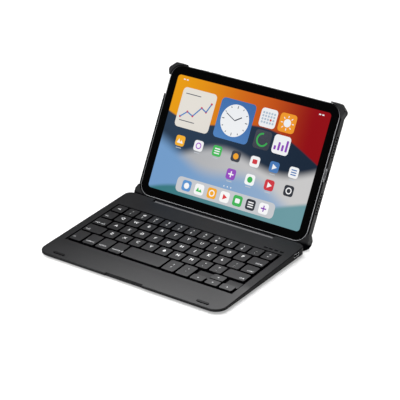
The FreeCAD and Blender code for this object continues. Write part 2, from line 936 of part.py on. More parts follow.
def back_shell():
    half_width = tablet_width / 2 + tray_gap + shell_wall
    top = tablet_height / 2 + tray_gap
    radius = tablet_radius + tray_gap + shell_wall
    wire = rounded_rectangle(
        (-half_width, half_width), (-top - shell_wall, top), (radius, radius), -shell_thickness
    )
    body = prism(wire, shell_thickness - rail_below_glass)
    body = body.makeChamfer(shell_back_bevel, level_edges(body, -shell_thickness))

    inner = tablet_width / 2 + tray_gap
    well = prism(tablet_outline(tray_gap, -tray_thickness), far)
    open_top = box((-inner, inner), (0, far), (-tray_thickness, far))
    top_x, top_y = top_bumper_limits()
    low_x, low_y = bottom_bumper_limits()
    top_corner = corner_zone(top_x, (top_y, far))
    low_corner = corner_zone(low_x, (-far, low_y))
    cuts = [well, open_top, top_corner, low_corner, mirrored(top_corner), mirrored(low_corner)]

    half_port = port_window_width / 2
    right_wall = (inner - overcut, far)
    left_wall = (-far, overcut - inner)
    cuts.append(box(right_wall, (-half_port, half_port), (-port_window_depth, far)))
    cuts.append(box(left_wall, (power_window_low, top_y), (-tray_thickness, far)))
    for index in range(grille_hole_count):
        y = grille_from_middle + index * grille_hole_pitch
        cuts += [grille_hole(right_wall, y), grille_hole(right_wall, -y), grille_hole(left_wall, -y)]
    x, y = camera_spot()
    window = rounded_rectangle(
        (x - camera_window_width / 2, x + camera_window_width / 2),
        (y - camera_window_height / 2, y + camera_window_height / 2),
        (camera_window_radius, camera_window_radius),
        -far,
    )
    cuts.append(prism(window, far))
    return placed(body.cut(cuts), tray_frame)


def grille_hole(x_range, y):
    """A sound hole through a side rail, level with the middle of the tablet's edge."""
    points = polygon_points(grille_hole_sides, grille_hole_radius)
    return strip_along_x(x_range, [(y + a, b - tablet_thickness / 2) for a, b in points])


def bevelled_bumper(corners, front):
    """A bumper block with bevelled outer edges, cut to fit round the tray."""
    depth = shell_thickness + front
    body = prism(outline(corners, -shell_thickness), depth)
    body = body.makeChamfer(bumper_back_bevel, outer_edges(body, -shell_thickness))
    body = body.makeChamfer(bumper_front_bevel, outer_edges(body, front))
    return body.cut(tray_core())


def outer_edges(body, z):
    """Edges at one height that lie outside the tray."""
    core = tray_core()
    edges = []
    for edge in level_edges(body, z):
        middle = edge.valueAt((edge.FirstParameter + edge.LastParameter) / 2)
        across = min(abs(edge.tangentAt(edge.FirstParameter).x), abs(edge.tangentAt(edge.FirstParameter).y))
        inside = core.isInside(middle, 1e-6, True)
        if not inside and (edge.Length > shell_wall + top_bumper_rise or across > 1e-6):
            edges.append(edge)
    return edges


def top_bumper():
    """Right top bumper: along the top edge, round the corner in a flat, and down the side to the rail."""
    x_start, y_start = top_bumper_limits()
    top = tablet_height / 2 + top_bumper_rise
    side = tablet_width / 2 + top_bumper_side
    rail = tablet_width / 2 + tray_gap + shell_wall
    corners = [
        (x_start, y_start, 0),
        (rail, y_start, 0),
        (side, y_start + top_bumper_shoulder + shell_wall, top_bumper_shoulder),
        (side, top - top_bumper_cut_down, top_bumper_cut_round),
        (side - top_bumper_cut_across, top, top_bumper_shoulder),
        (x_start, top, 0),
    ]
    return bevelled_bumper(corners, top_bumper_front)


def bottom_bumper():
    """Right bottom bumper: it swells below the rail and comes down to the table."""
    x_start, y_start = bottom_bumper_limits()
    low = -tablet_height / 2 - bottom_bumper_reach
    side = tablet_width / 2 + bottom_bumper_side
    rail = tablet_width / 2 + tray_gap + shell_wall
    corners = [
        (x_start, y_start, 0),
        (x_start, low, 0),
        (side - bottom_bumper_cut_across, low, bottom_bumper_round),
        (side, low + bottom_bumper_reach, bottom_bumper_round),
        (side, y_start - bottom_bumper_shoulder, bottom_bumper_shoulder_round),
        (rail, y_start, 0),
    ]
    body = placed(bevelled_bumper(corners, bottom_bumper_front), tray_frame)
    return body.cut(box((-far, far), (-far, far), (-far, 0)))


def hinge_spine():
    """Barrel and web along the shell's lower edge, in the tray frame."""
    x_range = (-barrel_half_length, barrel_half_length)
    wall = -(tablet_height / 2 + tray_gap + shell_wall)
    barrel = rod_along_x(x_range, hinge_y, hinge_z, barrel_radius)
    web = strip_along_x(
        x_range,
        [
            (wall, -spine_seat),
            (wall, -rail_below_glass),
            (hinge_y + barrel_radius / 2, hinge_z - barrel_radius / 2),
            (hinge_y, hinge_z),
            (hinge_y - barrel_radius / 2, hinge_z - barrel_radius / 2),
            (wall - spine_web, -rail_below_glass),
        ],
    )
    spine = barrel.fuse(web).removeSplitter()
    seat_start = barrel_half_length - shaft_seat
    for sign in (-1, 1):
        seat_x = sorted((sign * seat_start, sign * (barrel_half_length + overcut)))
        spine = spine.cut(rod_along_x(seat_x, hinge_y, hinge_z, shaft_radius + shaft_seat_fit))
    return placed(spine, tray_frame)


def hinge_shaft(sign):
    ends = sorted((sign * (barrel_half_length - shaft_seat), sign * (notch_half_length - knuckle_gap)))
    return placed(rod_along_x(ends, hinge_y, hinge_z, shaft_radius), tray_frame)


def camera_spot():
    """The camera is near the tablet's top left corner, seen from the front."""
    return (camera_from_side - tablet_width / 2, tablet_height / 2 - camera_from_top)


def button_block(across, gap, travel):
    """A button that faces down, in the middle of an edge; with gap and travel, the pocket it moves in."""
    return slot_block(
        (across, -tablet_thickness / 2),
        button_length + 2 * gap,
        button_width + 2 * gap,
        (-button_rise, button_depth + travel + gap),
    )


def top_button(x, gap=0.0, travel=0.0):
    """A button in the tablet's top edge."""
    turn = FreeCAD.Rotation(ALONG_X, 90)
    return placed(button_block(x, gap, travel), FreeCAD.Placement(Vector(0, tablet_height / 2, 0), turn))


def side_button(y, gap=0.0, travel=0.0):
    """A button in the tablet's left edge."""
    turn = FreeCAD.Rotation(Vector(0, 0, 1), 90).multiply(FreeCAD.Rotation(ALONG_X, 90))
    return placed(button_block(0, gap, travel), FreeCAD.Placement(Vector(-tablet_width / 2, y, 0), turn))


def volume_spots():
    start = volume_button_from_side - tablet_width / 2
    return (start, start + volume_button_spacing)


def tablet_housing():
    body = prism(tablet_outline(0, -tablet_thickness), tablet_thickness)
    body = body.makeChamfer(tablet_edge_bevel, level_edges(body, -tablet_thickness) + level_edges(body, 0))
    glass_seat = prism(tablet_outline(-tablet_rim, -glass_thickness), glass_thickness + overcut)
    inside = tablet_rim + tablet_wall
    height = tablet_thickness - tablet_wall
    hollow = prism(tablet_outline(-inside, tablet_wall - tablet_thickness), height)
    port_room = box(
        (tablet_width / 2 - tablet_port_depth - tablet_wall, far),
        (-tablet_port_width, tablet_port_width),
        (-tablet_thickness, 0),
    )
    hollow = hollow.cut(port_room)
    for block in button_rooms():
        hollow = hollow.cut(block)
    cuts = [glass_seat, hollow, tablet_port_bore()]
    cuts += [top_button(x, button_clearance, button_travel) for x in volume_spots()]
    cuts.append(side_button(power_button_from_middle, button_clearance, button_travel))
    body = body.cut(cuts)
    half = tablet_port_width / 2 - tablet_tongue_thickness
    middle = -tablet_thickness / 2
    tongue = box(
        (tablet_width / 2 - tablet_port_depth, tablet_width / 2 - tablet_tongue_setback),
        (-half, half),
        (middle - tablet_tongue_thickness / 2, middle + tablet_tongue_thickness / 2),
    )
    return placed(body.fuse(tongue).removeSplitter(), tray_frame)


def button_rooms():
    """Solid metal kept round the button pockets."""
    depth = button_depth + button_clearance + button_travel + tablet_wall
    half = button_length / 2 + tablet_wall
    top = tablet_height / 2
    side = tablet_width / 2
    rooms = [box((x - half, x + half), (top - depth, top), (-far, far)) for x in volume_spots()]
    y = power_button_from_middle
    rooms.append(box((-side, depth - side), (y - half, y + half), (-far, far)))
    return rooms


def tablet_port_bore():
    """The tablet's own charging socket in its right edge."""
    bar = obround((0, 0), tablet_port_width, tablet_port_height, (-tablet_port_depth, overcut))
    turned = FreeCAD.Rotation(Vector(0, 1, 0), Vector(0, 0, 1), Vector(1, 0, 0), "ZXY")
    return placed(bar, FreeCAD.Placement(Vector(tablet_width / 2, 0, -tablet_thickness / 2), turned))


def cover_glass():
    glass = prism(tablet_outline(-tablet_rim, -glass_thickness), glass_thickness)
    return placed(glass, tray_frame)


def display_panel():
    half_width = screen_width / 2 + display_border
    half_height = screen_height / 2 + display_border
    low = -glass_thickness - display_thickness
    panel = box((-half_width, half_width), (-half_height, half_height), (low, -glass_thickness))
    return placed(panel, tray_frame)


def tablet_battery():
    low = tablet_wall - tablet_thickness
    start = tablet_board_width / 2 - tablet_battery_width / 2
    half = tablet_battery_height / 2
    cell = box((start, start + tablet_battery_width), (-half, half), (low, low + tablet_battery_thickness))
    return placed(cell, tray_frame)


def tablet_board():
    low = tablet_wall - tablet_thickness
    end = tablet_board_width / 2 - tablet_battery_width / 2 - inner_gap
    half = tablet_board_height / 2
    board = box((end - tablet_board_width, end), (-half, half), (low, low + tablet_board_thickness))
    return placed(board, tray_frame)


def camera_lens():
    x, y = camera_spot()
    low = -tablet_thickness - camera_rise
    lens = disc((x, y), camera_sides, camera_radius, (low, -tablet_thickness))
    lens = lens.makeChamfer(camera_bevel, level_edges(lens, low))
    return placed(lens, tray_frame)


def make_nodes():
    """Every piece by its name, in the modelling frame."""
    nodes = {
        "top_deck": top_deck(),
        "bottom_cover": bottom_cover(),
        "hinge_trim": trim_bar(),
        "key_membrane": key_membrane(),
        "key_plate": key_plate(),
        "battery_pack": battery_pack(),
        "main_board": main_board(),
        "charging_port": charging_port(),
        "led_light_pipes": led_light_pipes(),
        "switch_board": switch_board(),
        "power_switch": power_switch(),
        "rest_pads": rest_pads(),
        "rubber_feet": rubber_feet(),
        "case_screws": case_screws(),
        "hinge_bracket_left": hinge_bracket(-1),
        "hinge_bracket_right": hinge_bracket(1),
        "hinge_screws": hinge_screws(),
        "back_shell": back_shell(),
        "bumper_top_right": placed(top_bumper(), tray_frame),
        "bumper_top_left": placed(mirrored(top_bumper()), tray_frame),
        "bumper_bottom_right": bottom_bumper(),
        "bumper_bottom_left": mirrored(bottom_bumper()),
        "hinge_spine": hinge_spine(),
        "hinge_shaft_left": hinge_shaft(-1),
        "hinge_shaft_right": hinge_shaft(1),
        "tablet_housing": tablet_housing(),
        "cover_glass": cover_glass(),
        "display_panel": display_panel(),
        "tablet_battery": tablet_battery(),
        "tablet_board": tablet_board(),
        "camera_lens": camera_lens(),
        "tablet_power_button": placed(side_button(power_button_from_middle), tray_frame),
        "volume_up_button": placed(top_button(volume_spots()[1]), tray_frame),
        "volume_down_button": placed(top_button(volume_spots()[0]), tray_frame),
    }
    for name, cells in key_cells()[0].items():
        caps = [key_cap(cell) for cell in cells]
        nodes[name] = caps[0] if len(caps) == 1 else Part.makeCompound(caps)
    return nodes


nodes = make_nodes()
whole = FreeCAD.BoundBox()
for shape in nodes.values():
    whole.add(shape.optimalBoundingBox(False, False))
footprint_middle = Vector(whole.Center.x, whole.Center.y, whole.ZMin)
to_origin = FreeCAD.Placement(footprint_middle.negative(), FreeCAD.Rotation())

os.makedirs("parts", exist_ok=True)
for name, shape in nodes.items():
    placed(shape, to_origin).exportStep(f"parts/{name}.step")
print("whole object", [round(size, 2) for size in (whole.XLength, whole.YLength, whole.ZLength)])
print("moved by", [round(value, 4) for value in to_origin.Base])
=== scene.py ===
"""Looks of the tablet keyboard case: materials, legends, the lit screen, floor, light and camera.

Lengths in the tables are in millimetres, those of the floor, the lights and the camera in metres.
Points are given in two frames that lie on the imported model:
the deck frame (x right, y to the rear along the keys, z up square to the deck, from the key tops),
and the screen frame (x right, y up the screen, z out of it, from the middle of the glass).
"""

import json
import math

import bmesh
import bpy
from mathutils import Matrix, Vector


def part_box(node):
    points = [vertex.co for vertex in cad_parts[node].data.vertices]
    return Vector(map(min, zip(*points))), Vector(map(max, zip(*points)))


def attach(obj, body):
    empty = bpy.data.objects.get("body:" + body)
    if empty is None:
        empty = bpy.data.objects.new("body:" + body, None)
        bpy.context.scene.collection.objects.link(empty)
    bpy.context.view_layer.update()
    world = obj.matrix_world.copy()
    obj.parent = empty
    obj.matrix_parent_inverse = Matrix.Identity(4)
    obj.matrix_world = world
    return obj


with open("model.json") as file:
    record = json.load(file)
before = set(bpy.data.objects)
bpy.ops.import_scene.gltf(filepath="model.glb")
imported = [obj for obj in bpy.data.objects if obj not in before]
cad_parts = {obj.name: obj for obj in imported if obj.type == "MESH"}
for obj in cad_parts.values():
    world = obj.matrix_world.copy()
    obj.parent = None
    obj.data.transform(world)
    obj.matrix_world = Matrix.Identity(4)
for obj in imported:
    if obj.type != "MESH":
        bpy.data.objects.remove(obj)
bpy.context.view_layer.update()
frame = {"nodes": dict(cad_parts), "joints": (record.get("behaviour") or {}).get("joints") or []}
scene = bpy.context.scene

MM = 0.001
NODES = frame["nodes"]
JOINTS = {joint["name"]: joint for joint in frame["joints"]}

# Frames of the deck and of the screen
RIGHT = Vector((1, 0, 0))
SCREEN_OUT = Vector(JOINTS["tablet_lift_out"]["axis"]).normalized()
SCREEN_UP = SCREEN_OUT.cross(RIGHT)
DECK_UP = -Vector(JOINTS["space_press"]["axis"]).normalized()
DECK_REAR = DECK_UP.cross(RIGHT)


def reach(node, direction):
    """Lowest and highest place of a node's points along a direction."""
    places = [v.co.dot(direction) for v in NODES[node].data.vertices]
    return min(places), max(places)


def frame_matrix(right, up, out, origin):
    """A matrix from a local frame in millimetres to the model's frame in metres."""
    turn = Matrix((right, up, out)).transposed().to_4x4()
    return Matrix.Translation(origin) @ turn @ Matrix.Scale(MM, 4)


def middle(node):
    """Middle of a node's box."""
    low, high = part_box(node)
    return (low + high) / 2


glass_middle = middle("cover_glass")
glass_front = reach("cover_glass", SCREEN_OUT)[1]
SCREEN_ORIGIN = glass_middle + SCREEN_OUT * (glass_front - glass_middle.dot(SCREEN_OUT))
SCREEN = frame_matrix(RIGHT, SCREEN_UP, SCREEN_OUT, SCREEN_ORIGIN)

key_top = reach("space_key", DECK_UP)[1]
DECK = frame_matrix(RIGHT, DECK_REAR, DECK_UP, DECK_UP * key_top)
# Height of the key tops over the deck
KEY_RISE = 0.8


# Materials

# Roughness of every noise, and the values between which nearly all of it lies
NOISE_ROUGHNESS = 0.55
NOISE = (0.3, 0.7)
# Detail of the plainer noises
PLAIN = 2.0


class Tree:
    """A short way to add and join shader nodes."""

    def __init__(self, name):
        self.material = bpy.data.materials.new(name)
        self.material.use_nodes = True
        self.nodes = self.material.node_tree.nodes
        self.links = self.material.node_tree.links
        self.shader = self.nodes["Principled BSDF"]

    def add(self, kind, inputs=(), **settings):
        """Adds a node, with its inputs set or linked."""
        node = self.nodes.new(kind)
        for key, value in settings.items():
            setattr(node, key, value)
        for key, value in dict(inputs).items():
            self.put(node.inputs[key], value)
        return node

    def put(self, socket, value):
        """Sets an input to a value, or links it to an output."""
        if isinstance(value, bpy.types.NodeSocket):
            self.links.new(value, socket)
        else:
            socket.default_value = value

    def set(self, name, value):
        """Sets or links an input of the shader."""
        self.put(self.shader.inputs[name], value)

    def place(self):
        """The place on the object, in metres."""
        return self.add("ShaderNodeTexCoord").outputs["Object"]

    def math(self, operation, first, second=0.0):
        """The result of an operation on one or two values."""
        node = self.add("ShaderNodeMath", {0: first, 1: second}, operation=operation)
        return node.outputs[0]

    def noise(self, scale, detail=3.0, place=None):
        """A cloudy value about 0.5."""
        inputs = {
            "Vector": place or self.place(),
            "Scale": scale,
            "Detail": detail,
            "Roughness": NOISE_ROUGHNESS,
        }
        return self.add("ShaderNodeTexNoise", inputs).outputs["Fac"]

    def spread(self, value, low, high, start=0.0, end=1.0, smooth=False):
        """A value that goes from low to high while the given one goes from start to end."""
        inputs = {"Value": value, "From Min": start, "From Max": end, "To Min": low, "To Max": high}
        node = self.add("ShaderNodeMapRange", inputs, clamp=True)
        if smooth:
            node.interpolation_type = "SMOOTHSTEP"
        return node.outputs["Result"]

    def mix(self, factor, first, second):
        """The first colour where the factor is 0, the second where it is 1."""
        node = self.add("ShaderNodeMix", data_type="RGBA")
        self.put(node.inputs["Factor"], factor)
        self.put(node.inputs[6], first)
        self.put(node.inputs[7], second)
        return node.outputs[2]

    def within(self, value, low, high):
        """1 between two limits, 0 outside them."""
        above = self.math("GREATER_THAN", value, low)
        return self.math("MULTIPLY", above, self.math("LESS_THAN", value, high))

    def roughen(self, noise, low, high):
        """Lets the roughness swing with a noise."""
        self.set("Roughness", self.spread(noise, low, high, *NOISE))

    def bump(self, height, strength, distance):
        """Adds relief to the shader."""
        inputs = {"Height": height, "Strength": strength, "Distance": distance}
        self.set("Normal", self.add("ShaderNodeBump", inputs).outputs["Normal"])


def colour(red, green, blue):
    """Linear colour of an sRGB colour given from 0 to 255."""
    channels = []
    for value in (red, green, blue):
        value = value / 255
        channels.append(value / 12.92 if value <= 0.04045 else ((value + 0.055) / 1.055) ** 2.4)
    return (*channels, 1.0)


def grey(level):
    """A faintly cool grey."""
    return colour(level, level, level + 1)


def scaled(tone, factor):
    """A lighter or darker tone."""
    return (*[channel * factor for channel in tone[:3]], 1.0)


def along(tree, place, direction):
    """The length of a place or of a normal along a direction."""
    node = tree.add("ShaderNodeVectorMath", operation="DOT_PRODUCT")
    tree.put(node.inputs[0], tree.add("ShaderNodeTexCoord").outputs[place])
    node.inputs[1].default_value = direction
    return node.outputs["Value"]


def facing(tree, direction, start, end):
    """How far a face looks along a direction: it goes from 0 to 1 between two cosines."""
    return tree.spread(along(tree, "Normal", direction), 0, 1, start, end, smooth=True)


# Moulded surfaces: the scale of their clouds, and how far they change the tone
CLOUD_SCALE = 42.0
CLOUD_SWING = 0.16
# Which values of the fine noise make specks, how much of them shows, and how they lift the tone
SPECKS = (0.35, 0.75)
SPECK_SHARE = 0.35
SPECK_LIFT = 1.45
# How far the roughness swings to each side, and the strength of the relief
ROUGHNESS_SWING = 0.07
RELIEF = 0.25
# The share of the gloss that a wall keeps, and the tone of places painted black as shade
WALL_GLOSS = 0.25
PAINTED_SHADE_TONE = grey(3)


def moulded(
    name,
    tone,
    roughness,
    grain,
    depth,
    metallic=0.0,
    specular=0.5,
    coat=0.0,
    grained=None,
    walls=7,
    risen=None,
):
    """A moulded or blasted surface: faint clouds in its colour, fine grain in its gloss and relief.

    With a lit direction and its two cosines, the other faces get the walls' darker tone and less
    gloss, as painted shade. With a function for the places out of that shade too, the others are
    painted black as shade.
    """
    tree = Tree(name)
    clouds = tree.noise(CLOUD_SCALE)
    fine = tree.noise(1 / MM / grain, PLAIN)
    cloudy = tree.spread(clouds, 0, 1, *NOISE)
    tint = tree.mix(cloudy, scaled(tone, 1 - CLOUD_SWING), scaled(tone, 1 + CLOUD_SWING))
    speck = tree.mix(tree.spread(fine, 0, SPECK_SHARE, *SPECKS), tint, scaled(tone, SPECK_LIFT))
    tree.set("Specular IOR Level", specular)
    if grained:
        # Faces turned away from the lit direction are painted darker, with less gloss, as shade
        share = facing(tree, *grained)
        speck = tree.mix(share, grey(walls), speck)
        gloss = tree.spread(share, specular * WALL_GLOSS, specular)
        if risen:
            # Places outside the mask are painted black as shade
            high = risen(tree)
            speck = tree.mix(high, PAINTED_SHADE_TONE, speck)
            gloss = tree.math("MULTIPLY", gloss, high)
        tree.set("Specular IOR Level", gloss)
    tree.set("Base Color", speck)
    mixed = tree.math("ADD", tree.math("MULTIPLY", clouds, 0.5), tree.math("MULTIPLY", fine, 0.5))
    tree.roughen(mixed, roughness - ROUGHNESS_SWING, roughness + ROUGHNESS_SWING)
    tree.bump(fine, RELIEF, depth * MM)
    tree.set("Metallic", metallic)
    tree.set("Coat Weight", coat)
    return tree.material


# The key well is painted dark as shade but for its two open places, behind the side arrow keys
deck_high = reach("top_deck", DECK_UP)[1]
# Depths under the deck's top where the well's painted shade is full and where it ends
WELL_DARK = 0.9 * MM
WELL_LIGHT = 0.4 * MM
# How far the well goes beyond its keys, and how far an open place stays from the keys by it
WELL_EDGE = 1.6 * MM
OPEN_EDGE = 0.8 * MM
well_left, well_right = reach("number_keys", RIGHT)
well_front = reach("space_key", DECK_REAR)[0]
well_rear = reach("number_keys", DECK_REAR)[1]
open_rear = reach("right_shift_key", DECK_REAR)[0]


def out_of_well(tree):
    """1 on the deck and in the open places, 0 down in the key well, where shade is painted."""
    right = along(tree, "Object", RIGHT)
    rear = along(tree, "Object", DECK_REAR)
    across = tree.within(right, well_left - WELL_EDGE, well_right + WELL_EDGE)
    lengthways = tree.within(rear, well_front - WELL_EDGE, well_rear + WELL_EDGE)
    outside = tree.math("SUBTRACT", 1.0, tree.math("MULTIPLY", across, lengthways))
    up = along(tree, "Object", DECK_UP)
    high = tree.spread(up, 0, 1, deck_high - WELL_DARK, deck_high - WELL_LIGHT)
    high = tree.math("MAXIMUM", high, outside)
    for node in ("left_arrow_key", "right_arrow_key"):
        across = tree.within(right, *reach(node, RIGHT))
        key_rear = reach(node, DECK_REAR)[1]
        lengthways = tree.within(rear, key_rear + OPEN_EDGE, open_rear - OPEN_EDGE)
        high = tree.math("MAXIMUM", high, tree.math("MULTIPLY", across, lengthways))
    return high


# The keys are painted dark as shade below the edges of their tops: depths where they are dark and
# light
GAP_DARK = 0.5 * MM
GAP_LIGHT = 0.15 * MM


def out_of_gaps(tree):
    """1 on the tops of the keys, 0 down their sides, where shade is painted."""
    up = along(tree, "Object", DECK_UP)
    return tree.spread(up, 0, 1, key_top - GAP_DARK, key_top - GAP_LIGHT)


# The lower bumpers are painted dark as shade behind the deck: lengths down the screen where they
# are dark and light
SHADE_DARK = 67.6 * MM
SHADE_LIGHT = 65.2 * MM
screen_high = SCREEN_ORIGIN.dot(SCREEN_UP)


def out_of_shade(tree):
    """1 on the bumpers, 0 at the foot of the lower ones, where shade is painted."""
    up = along(tree, "Object", SCREEN_UP)
    return tree.spread(up, 0, 1, screen_high - SHADE_DARK, screen_high - SHADE_LIGHT)


def screen_place(tree):
    """The place in the screen frame: right, up and out from the middle of the glass."""
    back = SCREEN.inverted()
    inputs = {
        "Vector": tree.place(),
        "Location": back.to_translation(),
        "Rotation": back.to_3x3().to_euler(),
        "Scale": (1 / MM, 1 / MM, 1 / MM),
    }
    mapping = tree.add("ShaderNodeMapping", inputs)
    parts = tree.add("ShaderNodeSeparateXYZ", {"Vector": mapping.outputs["Vector"]})
    return [parts.outputs[axis] for axis in "XYZ"]


# The sound holes in the shell's side rails, and the places on the tablet behind them, in the screen
# frame; both are painted dark as shade
HOLE_SIDE = 97.5
HOLE_FIRST = 18.0
HOLE_PITCH = 2.8
HOLE_COUNT = 8
HOLE_LAST = HOLE_FIRST + (HOLE_COUNT - 1) * HOLE_PITCH
HOLE_DEPTH = -3.15
HOLE_HALF_LENGTH = 0.75
SHELL_HOLE_HALF_DEPTH = 1.9
TABLET_HOLE_HALF_DEPTH = 0.75


def sound_holes(tree, half_depth):
    """1 in the sound holes of both sides, 0 elsewhere; the left side has the lower group alone."""
    u, v, depth = screen_place(tree)
    away = tree.math("ABSOLUTE", v)
    near = tree.math("PINGPONG", tree.math("SUBTRACT", away, HOLE_FIRST), HOLE_PITCH / 2)
    near = tree.math("DIVIDE", near, HOLE_HALF_LENGTH)
    deep = tree.math("DIVIDE", tree.math("SUBTRACT", depth, HOLE_DEPTH), half_depth)
    squared = tree.math("ADD", tree.math("MULTIPLY", near, near), tree.math("MULTIPLY", deep, deep))
    hole = tree.math("LESS_THAN", squared, 1.0)
    for inside in (
        tree.math("GREATER_THAN", tree.math("ABSOLUTE", u), HOLE_SIDE),
        tree.within(away, HOLE_FIRST - HOLE_HALF_LENGTH, HOLE_LAST + HOLE_HALF_LENGTH),
        tree.math("MAXIMUM", tree.math("GREATER_THAN", u, 0.0), tree.math("LESS_THAN", v, 0.0)),
    ):
        hole = tree.math("MULTIPLY", hole, inside)
    return hole


def out_of_holes(tree):
    """0 in the shell's sound holes, painted dark as shade, 1 elsewhere."""
    return tree.math("SUBTRACT", 1.0, sound_holes(tree, SHELL_HOLE_HALF_DEPTH))


# The tablet's metal: its tones, the scale of its grain, and how metallic it is
METAL_TONES = (colour(150, 151, 154), colour(172, 173, 176))
METAL_GRAIN = 4000.0
METAL_SHARE = 0.35
# The black rim beside the glass, and how deep it goes
RIM_TONE = grey(6)
RIM_DEPTH = 1.5
# The painted highlight beside the glass: the cosines of its faces, where it fades up and left in
# the screen frame, and how much stays on the left
HIGHLIGHT_TONE = colour(146, 147, 150)
HIGHLIGHT_FACING = (0.9, 0.97)
HIGHLIGHT_FADE_UP = (52, 66)
HIGHLIGHT_FADE_LEFT = (-97, -85)
HIGHLIGHT_LEFT_SHARE = 0.45


def tablet_metal():
    """Blasted metal of the tablet, with a black rim, and a painted highlight that fades up and
    left.
    """
    tree = Tree("tablet_metal")
    u, v, depth = screen_place(tree)
    rim = tree.math("GREATER_THAN", depth, -RIM_DEPTH)
    # The places behind the shell's sound holes are painted dark as shade
    dark = tree.math("MAXIMUM", rim, sound_holes(tree, TABLET_HOLE_HALF_DEPTH))
    # The line is a painted highlight on faces beside the glass
    line = facing(tree, SCREEN_OUT, *HIGHLIGHT_FACING)
    line = tree.math("MULTIPLY", line, tree.spread(v, 1, 0, *HIGHLIGHT_FADE_UP))
    line = tree.math("MULTIPLY", line, tree.spread(u, HIGHLIGHT_LEFT_SHARE, 1, *HIGHLIGHT_FADE_LEFT))
    fine = tree.noise(METAL_GRAIN, PLAIN)
    tint = tree.mix(dark, tree.mix(fine, *METAL_TONES), RIM_TONE)
    tree.set("Base Color", tree.mix(line, tint, HIGHLIGHT_TONE))
    tree.set("Metallic", tree.spread(dark, METAL_SHARE, 0))
    tree.roughen(fine, 0.28, 0.42)
    tree.bump(fine, 0.2, 0.01 * MM)
    return tree.material


# Scale of the lines on brushed steel along X and across, and of the wear of the print
BRUSH_SCALE = (60.0, 2400.0, 2400.0)
WEAR_SCALE = 900.0


def brushed(name, tone, roughness):
    """Plated steel with fine lines along its length."""
    tree = Tree(name)
    stretch = tree.add("ShaderNodeMapping", {"Vector": tree.place(), "Scale": BRUSH_SCALE})
    lines = tree.noise(1.0, place=stretch.outputs["Vector"])
    tree.set("Base Color", tree.mix(lines, scaled(tone, 0.8), scaled(tone, 1.15)))
    tree.roughen(lines, roughness - 0.08, roughness + 0.1)
    tree.bump(lines, 0.15, 0.02 * MM)
    tree.set("Metallic", 1.0)
    return tree.material


def printed(name, tone, specular=0.5):
    """Thin print on plastic, worn a little unevenly."""
    tree = Tree(name)
    tree.set("Specular IOR Level", specular)
    wear = tree.noise(WEAR_SCALE)
    tree.set("Base Color", tree.mix(wear, scaled(tone, 0.75), tone))
    tree.set("Roughness", tree.spread(wear, 0.45, 0.65))
    return tree.material


# Lit patches of the display: their tone when unlit, and the scale of the smears on them
UNLIT = (0.01, 0.01, 0.011, 1)
PATCH_SMEAR = 300.0
# How far from the middle of the screen their colour runs
LIT_RUN = 55


def lit(name, tone, other, strength, turn):
    """A lit patch of the display: its colour runs between two tones, at a turn from upright."""
    tree = Tree(name)
    u, v = screen_place(tree)[:2]
    sideways = tree.math("MULTIPLY", u, math.sin(turn))
    run = tree.math("ADD", sideways, tree.math("MULTIPLY", v, math.cos(turn)))
    shade = tree.spread(run, 0, 1, -LIT_RUN, LIT_RUN, smooth=True)
    tree.set("Base Color", UNLIT)
    tree.set("Emission Color", tree.mix(shade, tone, other))
    tree.set("Emission Strength", strength)
    tree.set("Roughness", tree.spread(tree.noise(PATCH_SMEAR), 0.08, 0.16))
    return tree.material


# The glass: its tones, and the scale and detail of the smears on it
GLASS_TONES = ((0.0003, 0.0003, 0.0003, 1), (0.0006, 0.0006, 0.0007, 1))
GLASS_SMEAR = (26.0, 4.0)
# The lit picture: its size, the blur of its edge, and its strength
SCREEN_WIDTH = 176.6
SCREEN_HEIGHT = 116.0
SCREEN_CORNER = 3.4
SCREEN_BLUR = 0.15
SCREEN_GLOW = 0.95
# Colours of its sky, where each runs into the next, and where the two of a band do
SKY_LEFT = colour(238, 160, 22)
SKY_MIDDLE = colour(206, 92, 28)
SKY_RIGHT = colour(148, 14, 22)
SKY_LEFT_RUN = (-90, 20)
SKY_RIGHT_RUN = (5, 75)
BAND_RUN = (-80, 80)
# Its bands: height, swing, wave length, start, slope and blur of the upper edge, and the colours on
# the left and on the right
bands = (
    (20, 11, 190, 0.6, -0.10, 1.2, colour(44, 62, 84), colour(28, 42, 60)),
    (-9, 9, 150, 2.4, 0.12, 6.0, colour(176, 178, 182), colour(206, 205, 205)),
    (-26, 7, 120, 0.2, -0.14, 9.0, colour(118, 160, 206), colour(152, 178, 208)),
    (-47, 6, 160, 3.6, 0.13, 2.5, colour(60, 124, 132), colour(112, 158, 166)),
)


def hill(tree, u, v, height, swing, length, start, slope, blur):
    """1 below a wavy line across the screen, 0 above it."""
    turn = tree.math("ADD", tree.math("MULTIPLY", u, 2 * math.pi / length), start)
    wave = tree.math("SINE", turn)
    line = tree.math("ADD", tree.math("MULTIPLY", wave, swing), tree.math("MULTIPLY", u, slope))
    below = tree.math("SUBTRACT", tree.math("ADD", line, height), v)
    return tree.spread(below, 0, 1, -blur, blur, smooth=True)


def rounded_mask(tree, u, v, half_width, half_height, corner):
    """1 inside a rounded rectangle about the middle of the screen."""
    dx = tree.math("SUBTRACT", tree.math("ABSOLUTE", u), half_width - corner)
    dx = tree.math("MAXIMUM", dx, 0.0)
    dy = tree.math("SUBTRACT", tree.math("ABSOLUTE", v), half_height - corner)
    dy = tree.math("MAXIMUM", dy, 0.0)
    squared = tree.math("ADD", tree.math("MULTIPLY", dx, dx), tree.math("MULTIPLY", dy, dy))
    return tree.spread(tree.math("SQRT", squared), 1, 0, corner - SCREEN_BLUR, corner + SCREEN_BLUR)


